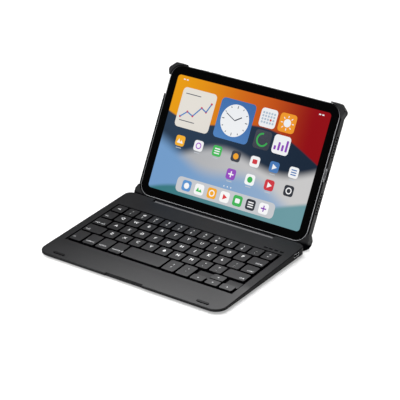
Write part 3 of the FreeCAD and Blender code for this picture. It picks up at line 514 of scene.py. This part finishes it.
def screen_glass():
    """Black cover glass with a lit picture of rolling bands behind it."""
    tree = Tree("screen_glass")
    u, v = screen_place(tree)[:2]
    picture = tree.mix(tree.spread(u, 0, 1, *SKY_LEFT_RUN, smooth=True), SKY_LEFT, SKY_MIDDLE)
    picture = tree.mix(tree.spread(u, 0, 1, *SKY_RIGHT_RUN, smooth=True), picture, SKY_RIGHT)
    for *edge, near, far in bands:
        tint = tree.mix(tree.spread(u, 0, 1, *BAND_RUN, smooth=True), near, far)
        picture = tree.mix(hill(tree, u, v, *edge), picture, tint)
    mask = rounded_mask(tree, u, v, SCREEN_WIDTH / 2, SCREEN_HEIGHT / 2, SCREEN_CORNER)
    tree.set("Emission Color", tree.mix(mask, (0, 0, 0, 1), picture))
    tree.set("Emission Strength", SCREEN_GLOW)
    smear = tree.noise(*GLASS_SMEAR)
    tree.set("Base Color", tree.mix(smear, *GLASS_TONES))
    tree.roughen(smear, 0.03, 0.09)
    tree.set("Specular IOR Level", 0.2)
    return tree.material


# Faces that keep the lit tone, and the two cosines between which it comes in: the deck's and the
# keys' tops, all of the shell but its front, the bumpers' fronts and the socket's mouth; the other
# faces are painted darker as shade
DECK_TOP = (DECK_UP, 0.55, 0.95)
KEY_TOP = (DECK_UP, 0.93, 0.99)
SHELL_SIDE = (SCREEN_OUT, 0.95, 0.75)
BUMPER_FRONT = (SCREEN_OUT, 0.3, 0.9)
SOCKET_FRONT = (RIGHT, 0.8, 0.95)


def dressed(name, tone, roughness, grain, depth, specular, **more):
    """A moulded surface whose tone is a grey."""
    return moulded(name, grey(tone), roughness, grain, depth, specular=specular, **more)


# After the tone come the roughness, the size and the depth of the grain, and for a grey the gloss
looks = {
    "deck": dressed(
        "deck_plastic", 24, 0.55, 0.35, 0.02, 0.2, grained=DECK_TOP, walls=13, risen=out_of_well
    ),
    "cover": dressed("cover_plastic", 12, 0.6, 0.5, 0.03, 0.08),
    "keys": dressed(
        "key_plastic", 28, 0.5, 0.3, 0.015, 0.22, grained=KEY_TOP, walls=2, risen=out_of_gaps
    ),
    "shell": dressed(
        "shell_plastic", 18, 0.55, 0.4, 0.03, 0.2, grained=SHELL_SIDE, risen=out_of_holes
    ),
    "bumper": dressed(
        "bumper_rubber",
        27,
        0.45,
        0.6,
        0.03,
        0.4,
        grained=BUMPER_FRONT,
        walls=14,
        risen=out_of_shade,
    ),
    "hinge": dressed("hinge_plastic", 8, 0.6, 0.4, 0.02, 0.1),
    "trim": moulded("trim_plastic", colour(74, 74, 76), 0.45, 0.3, 0.01, specular=0.3),
    "pad": dressed("pad_rubber", 15, 0.7, 0.5, 0.03, 0.12, grained=DECK_TOP, walls=3),
    "rubber": dressed("black_rubber", 10, 0.75, 0.5, 0.04, 0.1),
    "steel": brushed("plated_steel", colour(186, 187, 190), 0.32),
    "pouch": moulded("cell_pouch", colour(170, 172, 176), 0.4, 0.8, 0.04, metallic=0.6),
    "board": moulded("solder_mask", colour(22, 70, 44), 0.35, 0.6, 0.02, coat=0.3),
    "lamp": moulded("lamp_window", colour(14, 14, 16), 0.3, 0.4, 0.01, specular=0.3),
    "metal": tablet_metal(),
    # The socket's mouth is painted light as a glint, and its inside is painted darker as shade
    "socket": moulded(
        "socket_metal",
        colour(200, 201, 203),
        0.4,
        0.25,
        0.01,
        metallic=0.3,
        grained=SOCKET_FRONT,
        walls=8,
    ),
    "lens": moulded("lens_glass", colour(14, 14, 17), 0.12, 0.6, 0.0, coat=0.8),
    "glass": screen_glass(),
    "ink": printed("legend_ink", colour(226, 227, 228)),
    "dim": printed("dim_ink", colour(178, 179, 181)),
    "dark": printed("dark_ink", grey(4), 0.05),
}
look_of = {
    "top_deck": "deck",
    "bottom_cover": "cover",
    "power_switch": "trim",
    "hinge_trim": "trim",
    "back_shell": "shell",
    "hinge_spine": "hinge",
    "rest_pads": "pad",
    "rubber_feet": "rubber",
    "key_membrane": "rubber",
    "key_plate": "steel",
    "case_screws": "steel",
    "hinge_screws": "steel",
    "hinge_bracket_left": "hinge",
    "hinge_bracket_right": "hinge",
    "hinge_shaft_left": "steel",
    "hinge_shaft_right": "steel",
    "charging_port": "socket",
    "battery_pack": "pouch",
    "tablet_battery": "pouch",
    "main_board": "board",
    "switch_board": "board",
    "tablet_board": "board",
    "led_light_pipes": "lamp",
    "tablet_housing": "metal",
    "tablet_power_button": "metal",
    "volume_up_button": "metal",
    "volume_down_button": "metal",
    "camera_lens": "lens",
    "cover_glass": "glass",
    "display_panel": "lens",
}
# Widths of the rounded edges
edge_round = {
    "deck": 0.22,
    "cover": 0.2,
    "keys": 0.45,
    "shell": 0.25,
    "bumper": 0.45,
    "trim": 0.12,
    "pad": 0.15,
    "rubber": 0.2,
    "metal": 0.1,
}
# Least angle of an edge that is rounded, and the gap under which points are joined, in metres
EDGE_ANGLE = math.radians(28)
WELD_GAP = 1e-6


def weld_points(node, name):
    """Joins points that lie together."""
    node.modifiers.new(name, "WELD").merge_threshold = WELD_GAP


def round_edges(node, width):
    """Adds modifiers that round a node's sharp edges a little."""
    weld_points(node, "weld")
    bevel = node.modifiers.new("edge", "BEVEL")
    bevel.width = width
    bevel.segments = 2
    bevel.limit_method = "ANGLE"
    bevel.angle_limit = EDGE_ANGLE
    bevel.use_clamp_overlap = True
    weld_points(node, "seal")
    node.modifiers.new("level", "WEIGHTED_NORMAL").keep_sharp = True


for name, node in NODES.items():
    look = look_of.get(name, "bumper" if name.startswith("bumper") else "keys")
    node.data.materials.clear()
    node.data.materials.append(looks[look])
    if look in edge_round:
        round_edges(node, edge_round[look] * MM)


def add_object(name, data):
    """A new object in the scene."""
    obj = bpy.data.objects.new(name, data)
    scene.collection.objects.link(obj)
    return obj


# Pieces made as thin closed meshes
def piece(name, work, look, body):
    """Makes a mesh into a piece that rides on a body."""
    mesh = bpy.data.meshes.new(name)
    bmesh.ops.recalc_face_normals(work, faces=work.faces)
    work.to_mesh(mesh)
    work.free()
    obj = add_object(name, mesh)
    mesh.materials.append(look)
    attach(obj, body)


def add_prism(work, outline, low, high, place):
    """Adds a closed prism over an outline of (x, y) points to a mesh."""
    bottom = [work.verts.new(place @ Vector((x, y, low))) for x, y in outline]
    top = [work.verts.new(place @ Vector((x, y, high))) for x, y in outline]
    work.faces.new(reversed(bottom))
    work.faces.new(top)
    for index in range(len(outline)):
        work.faces.new((bottom[index - 1], bottom[index], top[index], top[index - 1]))


def rounded_box(x, y, width, height, corner, steps=5):
    """Outline of a rounded rectangle about a point."""
    points = []
    for turn, (sx, sy) in enumerate(((1, 1), (-1, 1), (-1, -1), (1, -1))):
        cx = x + sx * (width / 2 - corner)
        cy = y + sy * (height / 2 - corner)
        for step in range(steps + 1):
            angle = math.pi / 2 * (turn + step / steps)
            points.append((cx + corner * math.cos(angle), cy + corner * math.sin(angle)))
    return points


def disc(x, y, radius, steps=24):
    """Outline of a round spot."""
    turns = [2 * math.pi * step / steps for step in range(steps)]
    return [(x + radius * math.cos(turn), y + radius * math.sin(turn)) for turn in turns]


def bar(x0, y0, x1, y1, width):
    """Outline of a straight stroke between two points."""
    forward = Vector((x1 - x0, y1 - y0)).normalized()
    side = Vector((-forward.y, forward.x)) * width / 2
    return [
        (x0 - side.x, y0 - side.y),
        (x1 - side.x, y1 - side.y),
        (x1 + side.x, y1 + side.y),
        (x0 + side.x, y0 + side.y),
    ]


# Key legends: where they start and end, from the key tops
LEGEND_LOW = -0.04
LEGEND_HIGH = 0.012
# Gap between two caps
CAP_GAP = 1.6


def add_text(work, text, x, y, size, align="CENTER"):
    """Adds raised generic lettering on the keys to a mesh, with its middle line at y."""
    curve = bpy.data.curves.new("legend", "FONT")
    curve.body = text
    curve.size = size
    curve.align_x = align
    curve.align_y = "CENTER"
    curve.resolution_u = 2
    curve.extrude = (LEGEND_HIGH - LEGEND_LOW) / 2
    holder = bpy.data.objects.new("legend", curve)
    mesh = bpy.data.meshes.new_from_object(holder)
    shift = Matrix.Translation((x, y, (LEGEND_HIGH + LEGEND_LOW) / 2))
    mesh.transform(DECK @ shift)
    work.from_mesh(mesh)
    bpy.data.objects.remove(holder)
    bpy.data.curves.remove(curve)
    bpy.data.meshes.remove(mesh)


def caps(node, count=1):
    """Middle and size of each cap of a key node, in the deck frame."""
    x0, x1 = [value / MM for value in reach(node, RIGHT)]
    y0, y1 = [value / MM for value in reach(node, DECK_REAR)]
    pitch = (x1 - x0 + CAP_GAP) / count
    width = pitch - CAP_GAP
    first, y = x0 + width / 2, (y0 + y1) / 2
    return [(first + index * pitch, y, width, y1 - y0) for index in range(count)]


# Sizes of the lettering
LETTER = 5.0
SIGN = 3.4
WORD = 3.1
# Its shifts as shares of a cap's height, and how much closer two signs stand in the front row
LETTER_RISE = 0.08
SIGN_SHIFT = 0.17
FRONT_ROW = 0.75
WORD_DROP = 0.2
# Inset of a word from its cap's side
WORD_INSET = 2.0
# Length of an arrow from its middle to its tip and its sides, and the share of it to its back
ARROW = 0.9
ARROW_BACK = 0.6
number_signs = (
    ("esc", ""),
    ("!", "1"),
    ("@", "2"),
    ("#", "3"),
    ("$", "4"),
    ("%", "5"),
    ("^", "6"),
    ("&", "7"),
    ("*", "8"),
    ("(", "9"),
    (")", "0"),
    ("_", "-"),
    ("+", "="),
)
letter_rows = {
    "upper_letter_keys": ("Q", "W", "E", "R", "T", "Y", "U", "I", "O", "P"),
    "middle_letter_keys": ("A", "S", "D", "F", "G", "H", "J", "K", "L", ": ;"),
    "lower_letter_keys": ("Z", "X", "C", "V", "B", "N", "M", "< ,", "> ."),
}
words = {
    "tab_key": ("tab", "LEFT"),
    "delete_key": ("delete", "RIGHT"),
    "caps_key": ("caps lock", "LEFT"),
    "enter_key": ("enter", "RIGHT"),
    "left_shift_key": ("shift", "LEFT"),
    "right_shift_key": ("shift", "RIGHT"),
    "fn_key": ("fn", "LEFT"),
    "ctrl_key": ("control", "LEFT"),
    "alt_key": ("option", "LEFT"),
    "cmd_key": ("command", "LEFT"),
}
pairs = {"right_cmd_key": ("?", "/"), "right_alt_key": ('"', "'")}
arrows = {
    "left_arrow_key": (-1, 0),
    "right_arrow_key": (1, 0),
    "up_arrow_key": (0, 1),
    "down_arrow_key": (0, -1),
}


def add_pair(work, upper, lower, x, y, height):
    """Adds two signs, one over the other, to a mesh."""
    add_text(work, upper, x, y + height * SIGN_SHIFT, SIGN)
    add_text(work, lower, x, y - height * SIGN_SHIFT, SIGN)


def key_legend(node, work, look):
    """Makes a mesh into the legend of a single key."""
    piece(node.replace("_key", "_legend"), work, looks[look], node)


work = bmesh.new()
for (x, y, _, height), (upper, lower) in zip(caps("number_keys", len(number_signs)), number_signs):
    if lower:
        add_pair(work, upper, lower, x, y, height)
    else:
        add_text(work, upper, x, y, WORD)
piece("legends_numbers", work, looks["ink"], "number_keys")

for node, row in letter_rows.items():
    work = bmesh.new()
    for (x, y, _, height), letter in zip(caps(node, len(row)), row):
        if " " in letter:
            add_pair(work, *letter.split(" "), x, y, height)
        else:
            add_text(work, letter, x, y + height * LETTER_RISE, LETTER)
    piece(node.replace("_keys", "").replace("letter", "legends"), work, looks["ink"], node)

for node, (word, side) in words.items():
    x, y, width, height = caps(node)[0]
    edge = x - width / 2 + WORD_INSET if side == "LEFT" else x + width / 2 - WORD_INSET
    work = bmesh.new()
    add_text(work, word, edge, y - height * WORD_DROP, WORD, side)
    key_legend(node, work, "dim")

for node, (upper, lower) in pairs.items():
    x, y, _, height = caps(node)[0]
    work = bmesh.new()
    add_pair(work, upper, lower, x, y, height * FRONT_ROW)
    key_legend(node, work, "ink")

for node, (dx, dy) in arrows.items():
    x, y = caps(node)[0][:2]
    back_x, back_y = x - dx * ARROW * ARROW_BACK, y - dy * ARROW * ARROW_BACK
    tip = (x + dx * ARROW, y + dy * ARROW)
    left = (back_x - dy * ARROW, back_y + dx * ARROW)
    right = (back_x + dy * ARROW, back_y - dx * ARROW)
    work = bmesh.new()
    add_prism(work, [tip, left, right], LEGEND_LOW, LEGEND_HIGH, DECK)
    key_legend(node, work, "dim")

# Printed dashes on the deck, in front of the lamps
DASHES_X = (74.4, 79.9, 86.0, 92.0)
DASH_LENGTH = 4.2
DASH_WIDTH = 2.6
DASH_CORNER = 0.6
DASH_FORWARD = 1.9
dash_y = sum(reach("led_light_pipes", DECK_REAR)) / 2 / MM - DASH_FORWARD
work = bmesh.new()
for x in DASHES_X:
    dash = rounded_box(x, dash_y, DASH_LENGTH, DASH_WIDTH, DASH_CORNER, steps=2)
    add_prism(work, dash, LEGEND_LOW - KEY_RISE, LEGEND_HIGH - KEY_RISE, DECK)
piece("lamp_marks", work, looks["dark"], "base")

# What the screen shows: plain tiles and signs, and where they start and end, from the glass
TILE_LOW = -0.02
DOCK_HIGH = 0.01
TILE_HIGH = 0.02
SIGN_HIGH = 0.035
HAND_HIGH = 0.045
# Turn of each tone's run from that of the one before it
TONE_TURN = 0.4
# The colours that each tone runs between, and its strength
tones = {
    "white": (colour(250, 250, 250), colour(238, 240, 243), 0.95),
    "sky": (colour(92, 152, 214), colour(52, 104, 172), 0.9),
    "red": (colour(228, 60, 66), colour(206, 44, 58), 0.9),
    "green": (colour(70, 196, 92), colour(46, 168, 74), 0.9),
    "amber": (colour(246, 178, 36), colour(240, 150, 20), 0.95),
    "violet": (colour(168, 88, 206), colour(140, 66, 186), 0.9),
    "slate": (colour(70, 76, 90), colour(40, 44, 53), 0.9),
    "cream": (colour(236, 231, 222), colour(222, 217, 208), 0.9),
    "haze": (colour(178, 196, 212), colour(206, 208, 212), 0.9),
}
shown = {tone: bmesh.new() for tone in tones}


def tile(tone, x, y, width, height, corner, high=TILE_HIGH):
    """Adds a rounded tile about a point to what the screen shows."""
    add_prism(shown[tone], rounded_box(x, y, width, height, corner), TILE_LOW, high, SCREEN)


def sign(tone, outline, high=SIGN_HIGH):
    """Adds a flat sign over an outline to what the screen shows."""
    add_prism(shown[tone], outline, TILE_LOW, high, SCREEN)


def ring(tone, x, y, radius, width, start=0.0, end=1.0, steps=28):
    """Adds a ring, or a part of one with closed ends, from one share of a turn to another."""
    work = shown[tone]
    whole = end - start == 1.0
    inner = radius - width / 2
    outer = radius + width / 2
    corners = ((inner, TILE_LOW), (outer, TILE_LOW), (outer, SIGN_HIGH), (inner, SIGN_HIGH))
    sections = []
    for step in range(steps if whole else steps + 1):
        turn = 2 * math.pi * (start + (end - start) * step / steps)
        across, up = math.cos(turn), math.sin(turn)
        points = [Vector((x + r * across, y + r * up, z)) for r, z in corners]
        sections.append([work.verts.new(SCREEN @ point) for point in points])
    if whole:
        sections.append(sections[0])
    else:
        work.faces.new(sections[0])
        work.faces.new(reversed(sections[-1]))
    for before, after in zip(sections, sections[1:]):
        for index in range(len(corners)):
            work.faces.new((before[index - 1], before[index], after[index], after[index - 1]))


BLOCK = 40.0
BLOCK_CORNER = 4.2
BLOCK_Y = 27.5
THIN = 0.8
# Left block: a line chart between two captions
CHART_X = -58
CHART_LINE = 1.3
CHART_DOT = 1.2
CAPTION_ENDS = (-74, -56)
CAPTIONS_Y = (14.5, 41.5)
chart = ((-74, 18), (-67, 24), (-60, 21), (-52, 31), (-46, 28), (-42, 37))
tile("cream", CHART_X, BLOCK_Y, BLOCK, BLOCK, BLOCK_CORNER)
for start, end in zip(chart, chart[1:]):
    sign("sky", bar(*start, *end, CHART_LINE))
for x, y in chart:
    sign("red", disc(x, y, CHART_DOT, steps=12))
for y in CAPTIONS_Y:
    sign("slate", bar(CAPTION_ENDS[0], y, CAPTION_ENDS[1], y, THIN))
# Middle block: a dial clock, whose marks start further in at every third hour
CLOCK_X = -12
DIAL = 16.0
LONG_MARK = 12.0
SHORT_MARK = 13.2
MARK_END = 14.8
# Length, turn and width of each hand
hands = ((8.5, 1.0, 1.2), (12.5, -1.1, THIN))
tile("sky", CLOCK_X, BLOCK_Y, BLOCK, BLOCK, BLOCK_CORNER)
sign("white", disc(CLOCK_X, BLOCK_Y, DIAL, steps=40))


def on_dial(length, turn):
    """A point of the clock at a turn from its top."""
    return CLOCK_X + length * math.sin(turn), BLOCK_Y + length * math.cos(turn)


for hour in range(12):
    turn = math.pi / 6 * hour
    inner = SHORT_MARK if hour % 3 else LONG_MARK
    sign("slate", bar(*on_dial(inner, turn), *on_dial(MARK_END, turn), THIN), HAND_HIGH)
for length, turn, width in hands:
    sign("slate", bar(CLOCK_X, BLOCK_Y, *on_dial(length, turn), width), HAND_HIGH)
# Right block: four small tiles, with a calendar, a sun, an open ring and a bar chart
SMALL = 18.5
SMALL_CORNER = 3.4
LEFT_X, RIGHT_X = 23.5, 45
UPPER_Y, LOWER_Y = 38.3, 16.7
FIRST_DAY_X, FIRST_DAY_Y = 17.3, 43.0
DAY = 2.1
DAY_PITCH = 3.1
DAY_CORNER = 0.5
TODAY = (2, 3)
SUN = 4.0
RAY = (5.2, 7.2)
RAY_WIDTH = 0.9
FIRST_COLUMN_X, COLUMN_FOOT = 38.7, 11.0
COLUMN = 2.4
COLUMN_PITCH = 4.2
COLUMN_CORNER = 0.6
columns = (4, 8, 6, 11)
tile("white", LEFT_X, UPPER_Y, SMALL, SMALL, SMALL_CORNER)
tile("amber", RIGHT_X, UPPER_Y, SMALL, SMALL, SMALL_CORNER)
tile("slate", LEFT_X, LOWER_Y, SMALL, SMALL, SMALL_CORNER)
tile("white", RIGHT_X, LOWER_Y, SMALL, SMALL, SMALL_CORNER)
for row in range(4):
    for column in range(5):
        tone = "red" if (row, column) == TODAY else "haze"
        x, y = FIRST_DAY_X + column * DAY_PITCH, FIRST_DAY_Y - row * DAY_PITCH
        sign(tone, rounded_box(x, y, DAY, DAY, DAY_CORNER, steps=2))
sign("white", disc(RIGHT_X, UPPER_Y, SUN))
for spoke in range(8):
    turn = math.pi / 4 * spoke
    ends = [(RIGHT_X + r * math.cos(turn), UPPER_Y + r * math.sin(turn)) for r in RAY]
    sign("white", bar(*ends[0], *ends[1], RAY_WIDTH))
ring("green", LEFT_X, LOWER_Y, radius=6.0, width=1.8, start=0.25, end=0.95)
for index, height in enumerate(columns):
    x, y = FIRST_COLUMN_X + index * COLUMN_PITCH, COLUMN_FOOT + height / 2
    sign("violet", rounded_box(x, y, COLUMN, height, COLUMN_CORNER, steps=2))

# Rows of icons, with a line under each icon of the two upper rows
ICON = 10.6
ICON_CORNER = 2.5
ICON_PITCH = 22
LABEL_HALF = 3
LABEL_DROP = 7.1
LABEL_WIDTH = 0.7
# The dock, with the place of its first icon
DOCK_WIDTH = 114
DOCK_HEIGHT = 15.4
DOCK_CORNER = 4.4
DOCK_Y = -46.5
DOCK_FIRST = -45
DOCK_PITCH = 15
# Dots over the dock, and marks in the upper corners
DOTS_X = (-4, 0, 4)
DOTS_Y = -36.2
DOT = 0.6
CORNERS_X = (-80, -76.5, 76.5, 80)
CORNERS_Y = 54.4


def icon(x, y, tone, kind, ink):
    """Adds a tile with a sign on it, drawn from its middle."""
    tile(tone, x, y, ICON, ICON, ICON_CORNER)
    if kind == "disc":
        sign(ink, disc(x, y, 3.0))
    elif kind == "ring":
        ring(ink, x, y, 2.7, 1.1)
    elif kind == "bars":
        for step in (-1, 0, 1):
            sign(ink, rounded_box(x, y + step * 2.3, 6.2, 1.1, 0.4, steps=2))
    elif kind == "wedge":
        sign(ink, [(x - 2.0, y - 2.8), (x + 3.0, y), (x - 2.0, y + 2.8)])
    elif kind == "plus":
        sign(ink, bar(x - 3.0, y, x + 3.0, y, 1.3))
        sign(ink, bar(x, y - 3.0, x, y + 3.0, 1.3))
    elif kind == "peaks":
        sign(ink, [(x - 3.6, y - 2.4), (x + 0.6, y - 2.4), (x - 1.5, y + 2.0)])
        sign(ink, [(x - 0.6, y - 2.4), (x + 3.6, y - 2.4), (x + 1.7, y + 0.8)])
    elif kind == "box":
        sign(ink, rounded_box(x, y, 5.4, 4.4, 0.9, steps=3))


def icon_row(icons, x, y):
    """Adds icons with lines under them, the first one about a point."""
    for index, (tone, kind, ink) in enumerate(icons):
        icon(x + index * ICON_PITCH, y, tone, kind, ink)
        left = x - LABEL_HALF + index * ICON_PITCH
        right = x + LABEL_HALF + index * ICON_PITCH
        sign("haze", bar(left, y - LABEL_DROP, right, y - LABEL_DROP, LABEL_WIDTH))


upper_icons = (
    ("amber", "peaks", "white"),
    ("white", "ring", "violet"),
    ("green", "bars", "white"),
    ("slate", "disc", "amber"),
    ("white", "box", "red"),
    ("sky", "wedge", "white"),
    ("white", "bars", "sky"),
)
lower_icons = (
    ("violet", "plus", "white"),
    ("white", "disc", "green"),
    ("red", "wedge", "white"),
    ("slate", "ring", "white"),
)
dock_icons = (
    ("sky", "disc", "white"),
    ("white", "peaks", "green"),
    ("amber", "ring", "white"),
    ("white", "wedge", "red"),
    ("green", "box", "white"),
    ("slate", "bars", "white"),
    ("white", "plus", "violet"),
)
icon_row(upper_icons, x=-66, y=-5.5)
icon_row(lower_icons, x=0, y=-23.5)
tile("haze", 0, DOCK_Y, DOCK_WIDTH, DOCK_HEIGHT, DOCK_CORNER, DOCK_HIGH)
for index, (tone, kind, ink) in enumerate(dock_icons):
    icon(DOCK_FIRST + index * DOCK_PITCH, DOCK_Y, tone, kind, ink)
for x in DOTS_X:
    sign("white", disc(x, DOTS_Y, DOT, steps=10))
for x in CORNERS_X:
    sign("white", rounded_box(x, CORNERS_Y, width=2.4, height=1.2, corner=0.5, steps=2))

for index, (tone, (low_tone, high_tone, strength)) in enumerate(tones.items()):
    name = "screen_" + tone
    piece(name, shown[tone], lit(name, low_tone, high_tone, strength, TONE_TURN * index), "tablet")

# Floor, light and camera
FLOOR_HALF = 6.0
FLOOR_Z = -0.0002
FLOOR_GLOW = 0.36
FLOOR_TONES = ((0.5, 0.5, 0.5, 1), (0.52, 0.52, 0.52, 1))
STUDIO_GLOW = 0.08
WHITE = (1, 1, 1, 1)
floor_mesh = bpy.data.meshes.new("floor")
ways = ((-1, -1), (1, -1), (1, 1), (-1, 1))
corners = [(x * FLOOR_HALF, y * FLOOR_HALF, FLOOR_Z) for x, y in ways]
floor_mesh.from_pydata(corners, [], [(0, 1, 2, 3)])
floor = add_object("floor", floor_mesh)
floor_look = Tree("floor_paper")
paper = floor_look.noise(3.0, PLAIN)
floor_look.set("Base Color", floor_look.mix(paper, *FLOOR_TONES))
floor_look.set("Emission Color", WHITE)
floor_look.set("Emission Strength", FLOOR_GLOW)
floor_look.set("Roughness", 0.9)
floor_look.set("Specular IOR Level", 0.1)
floor_mesh.materials.append(floor_look.material)

scene.view_settings.view_transform = "Standard"
scene.view_settings.look = "None"
world = bpy.data.worlds.new("studio")
scene.world = world
world.use_nodes = True
backdrop = world.node_tree.nodes["Background"]
backdrop.inputs["Color"].default_value = WHITE
backdrop.inputs["Strength"].default_value = STUDIO_GLOW


def add_light(name, kind, place, aim, power):
    """A light at a place, turned to a point."""
    light = bpy.data.lights.new(name, kind)
    light.energy = power
    obj = add_object(name, light)
    obj.location = place
    obj.rotation_euler = (Vector(aim) - Vector(place)).to_track_quat("-Z", "Y").to_euler()
    return obj


def area_light(name, place, aim, size, power):
    """A soft light, with its width and height."""
    obj = add_light(name, "AREA", place, aim, power)
    obj.data.shape = "RECTANGLE"
    obj.data.size, obj.data.size_y = size
    return obj


def spot_light(name, place, aim, cone, size, power):
    """A spot light, with its cone in degrees."""
    light = add_light(name, "SPOT", place, aim, power).data
    light.spot_size = math.radians(cone)
    light.spot_blend = 1.0
    light.shadow_soft_size = size


# Soft lights, and spots for the deck's front right, the floor beside the lid and the floor at the
# front left
soft_top = area_light("soft_top", (-0.6, -0.7, 1.6), (-0.6, -0.7, 0), (2.6, 2.6), 102)
soft_top.visible_glossy = False
area_light("soft_rear", (-0.5, 1.1, 1.1), (0, 0.05, 0.08), (0.7, 0.5), 1.2)
area_light("soft_side", (1.0, -0.7, 0.5), (0, 0.03, 0.05), (0.6, 0.6), 3.6)
spot_light("spot_front", (-0.38, 0.16, 0.8), (0.145, -0.225, 0), 25, 0.08, 113)
spot_light("spot_floor", (-0.4, 1.2, 0.9), (0.165, 0.085, 0), 12, 0.02, 190)
spot_light("spot_left", (-0.45, -0.78, 0.6), (-0.07, -0.15, 0), 9, 0.04, 30)

camera_data = bpy.data.cameras.new("camera")
camera_data.lens = 154.98
camera_data.sensor_width = 36.0
camera_data.clip_end = 50.0
camera_data.shift_y = 0.0006
camera = add_object("camera", camera_data)
CAMERA_FROM_SCREEN = Vector((0.8374, -1.2727, 0.6852))
CAMERA_FORWARD = Vector((-0.5123, 0.7397, -0.4362)).normalized()
CAMERA_UP = Vector((-0.2483, 0.3586, 0.8998))
side = CAMERA_FORWARD.cross(CAMERA_UP).normalized()
top = side.cross(CAMERA_FORWARD)
turn = Matrix((side, top, -CAMERA_FORWARD)).transposed().to_4x4()
camera.matrix_world = Matrix.Translation(SCREEN_ORIGIN + CAMERA_FROM_SCREEN) @ turn
scene.camera = camera
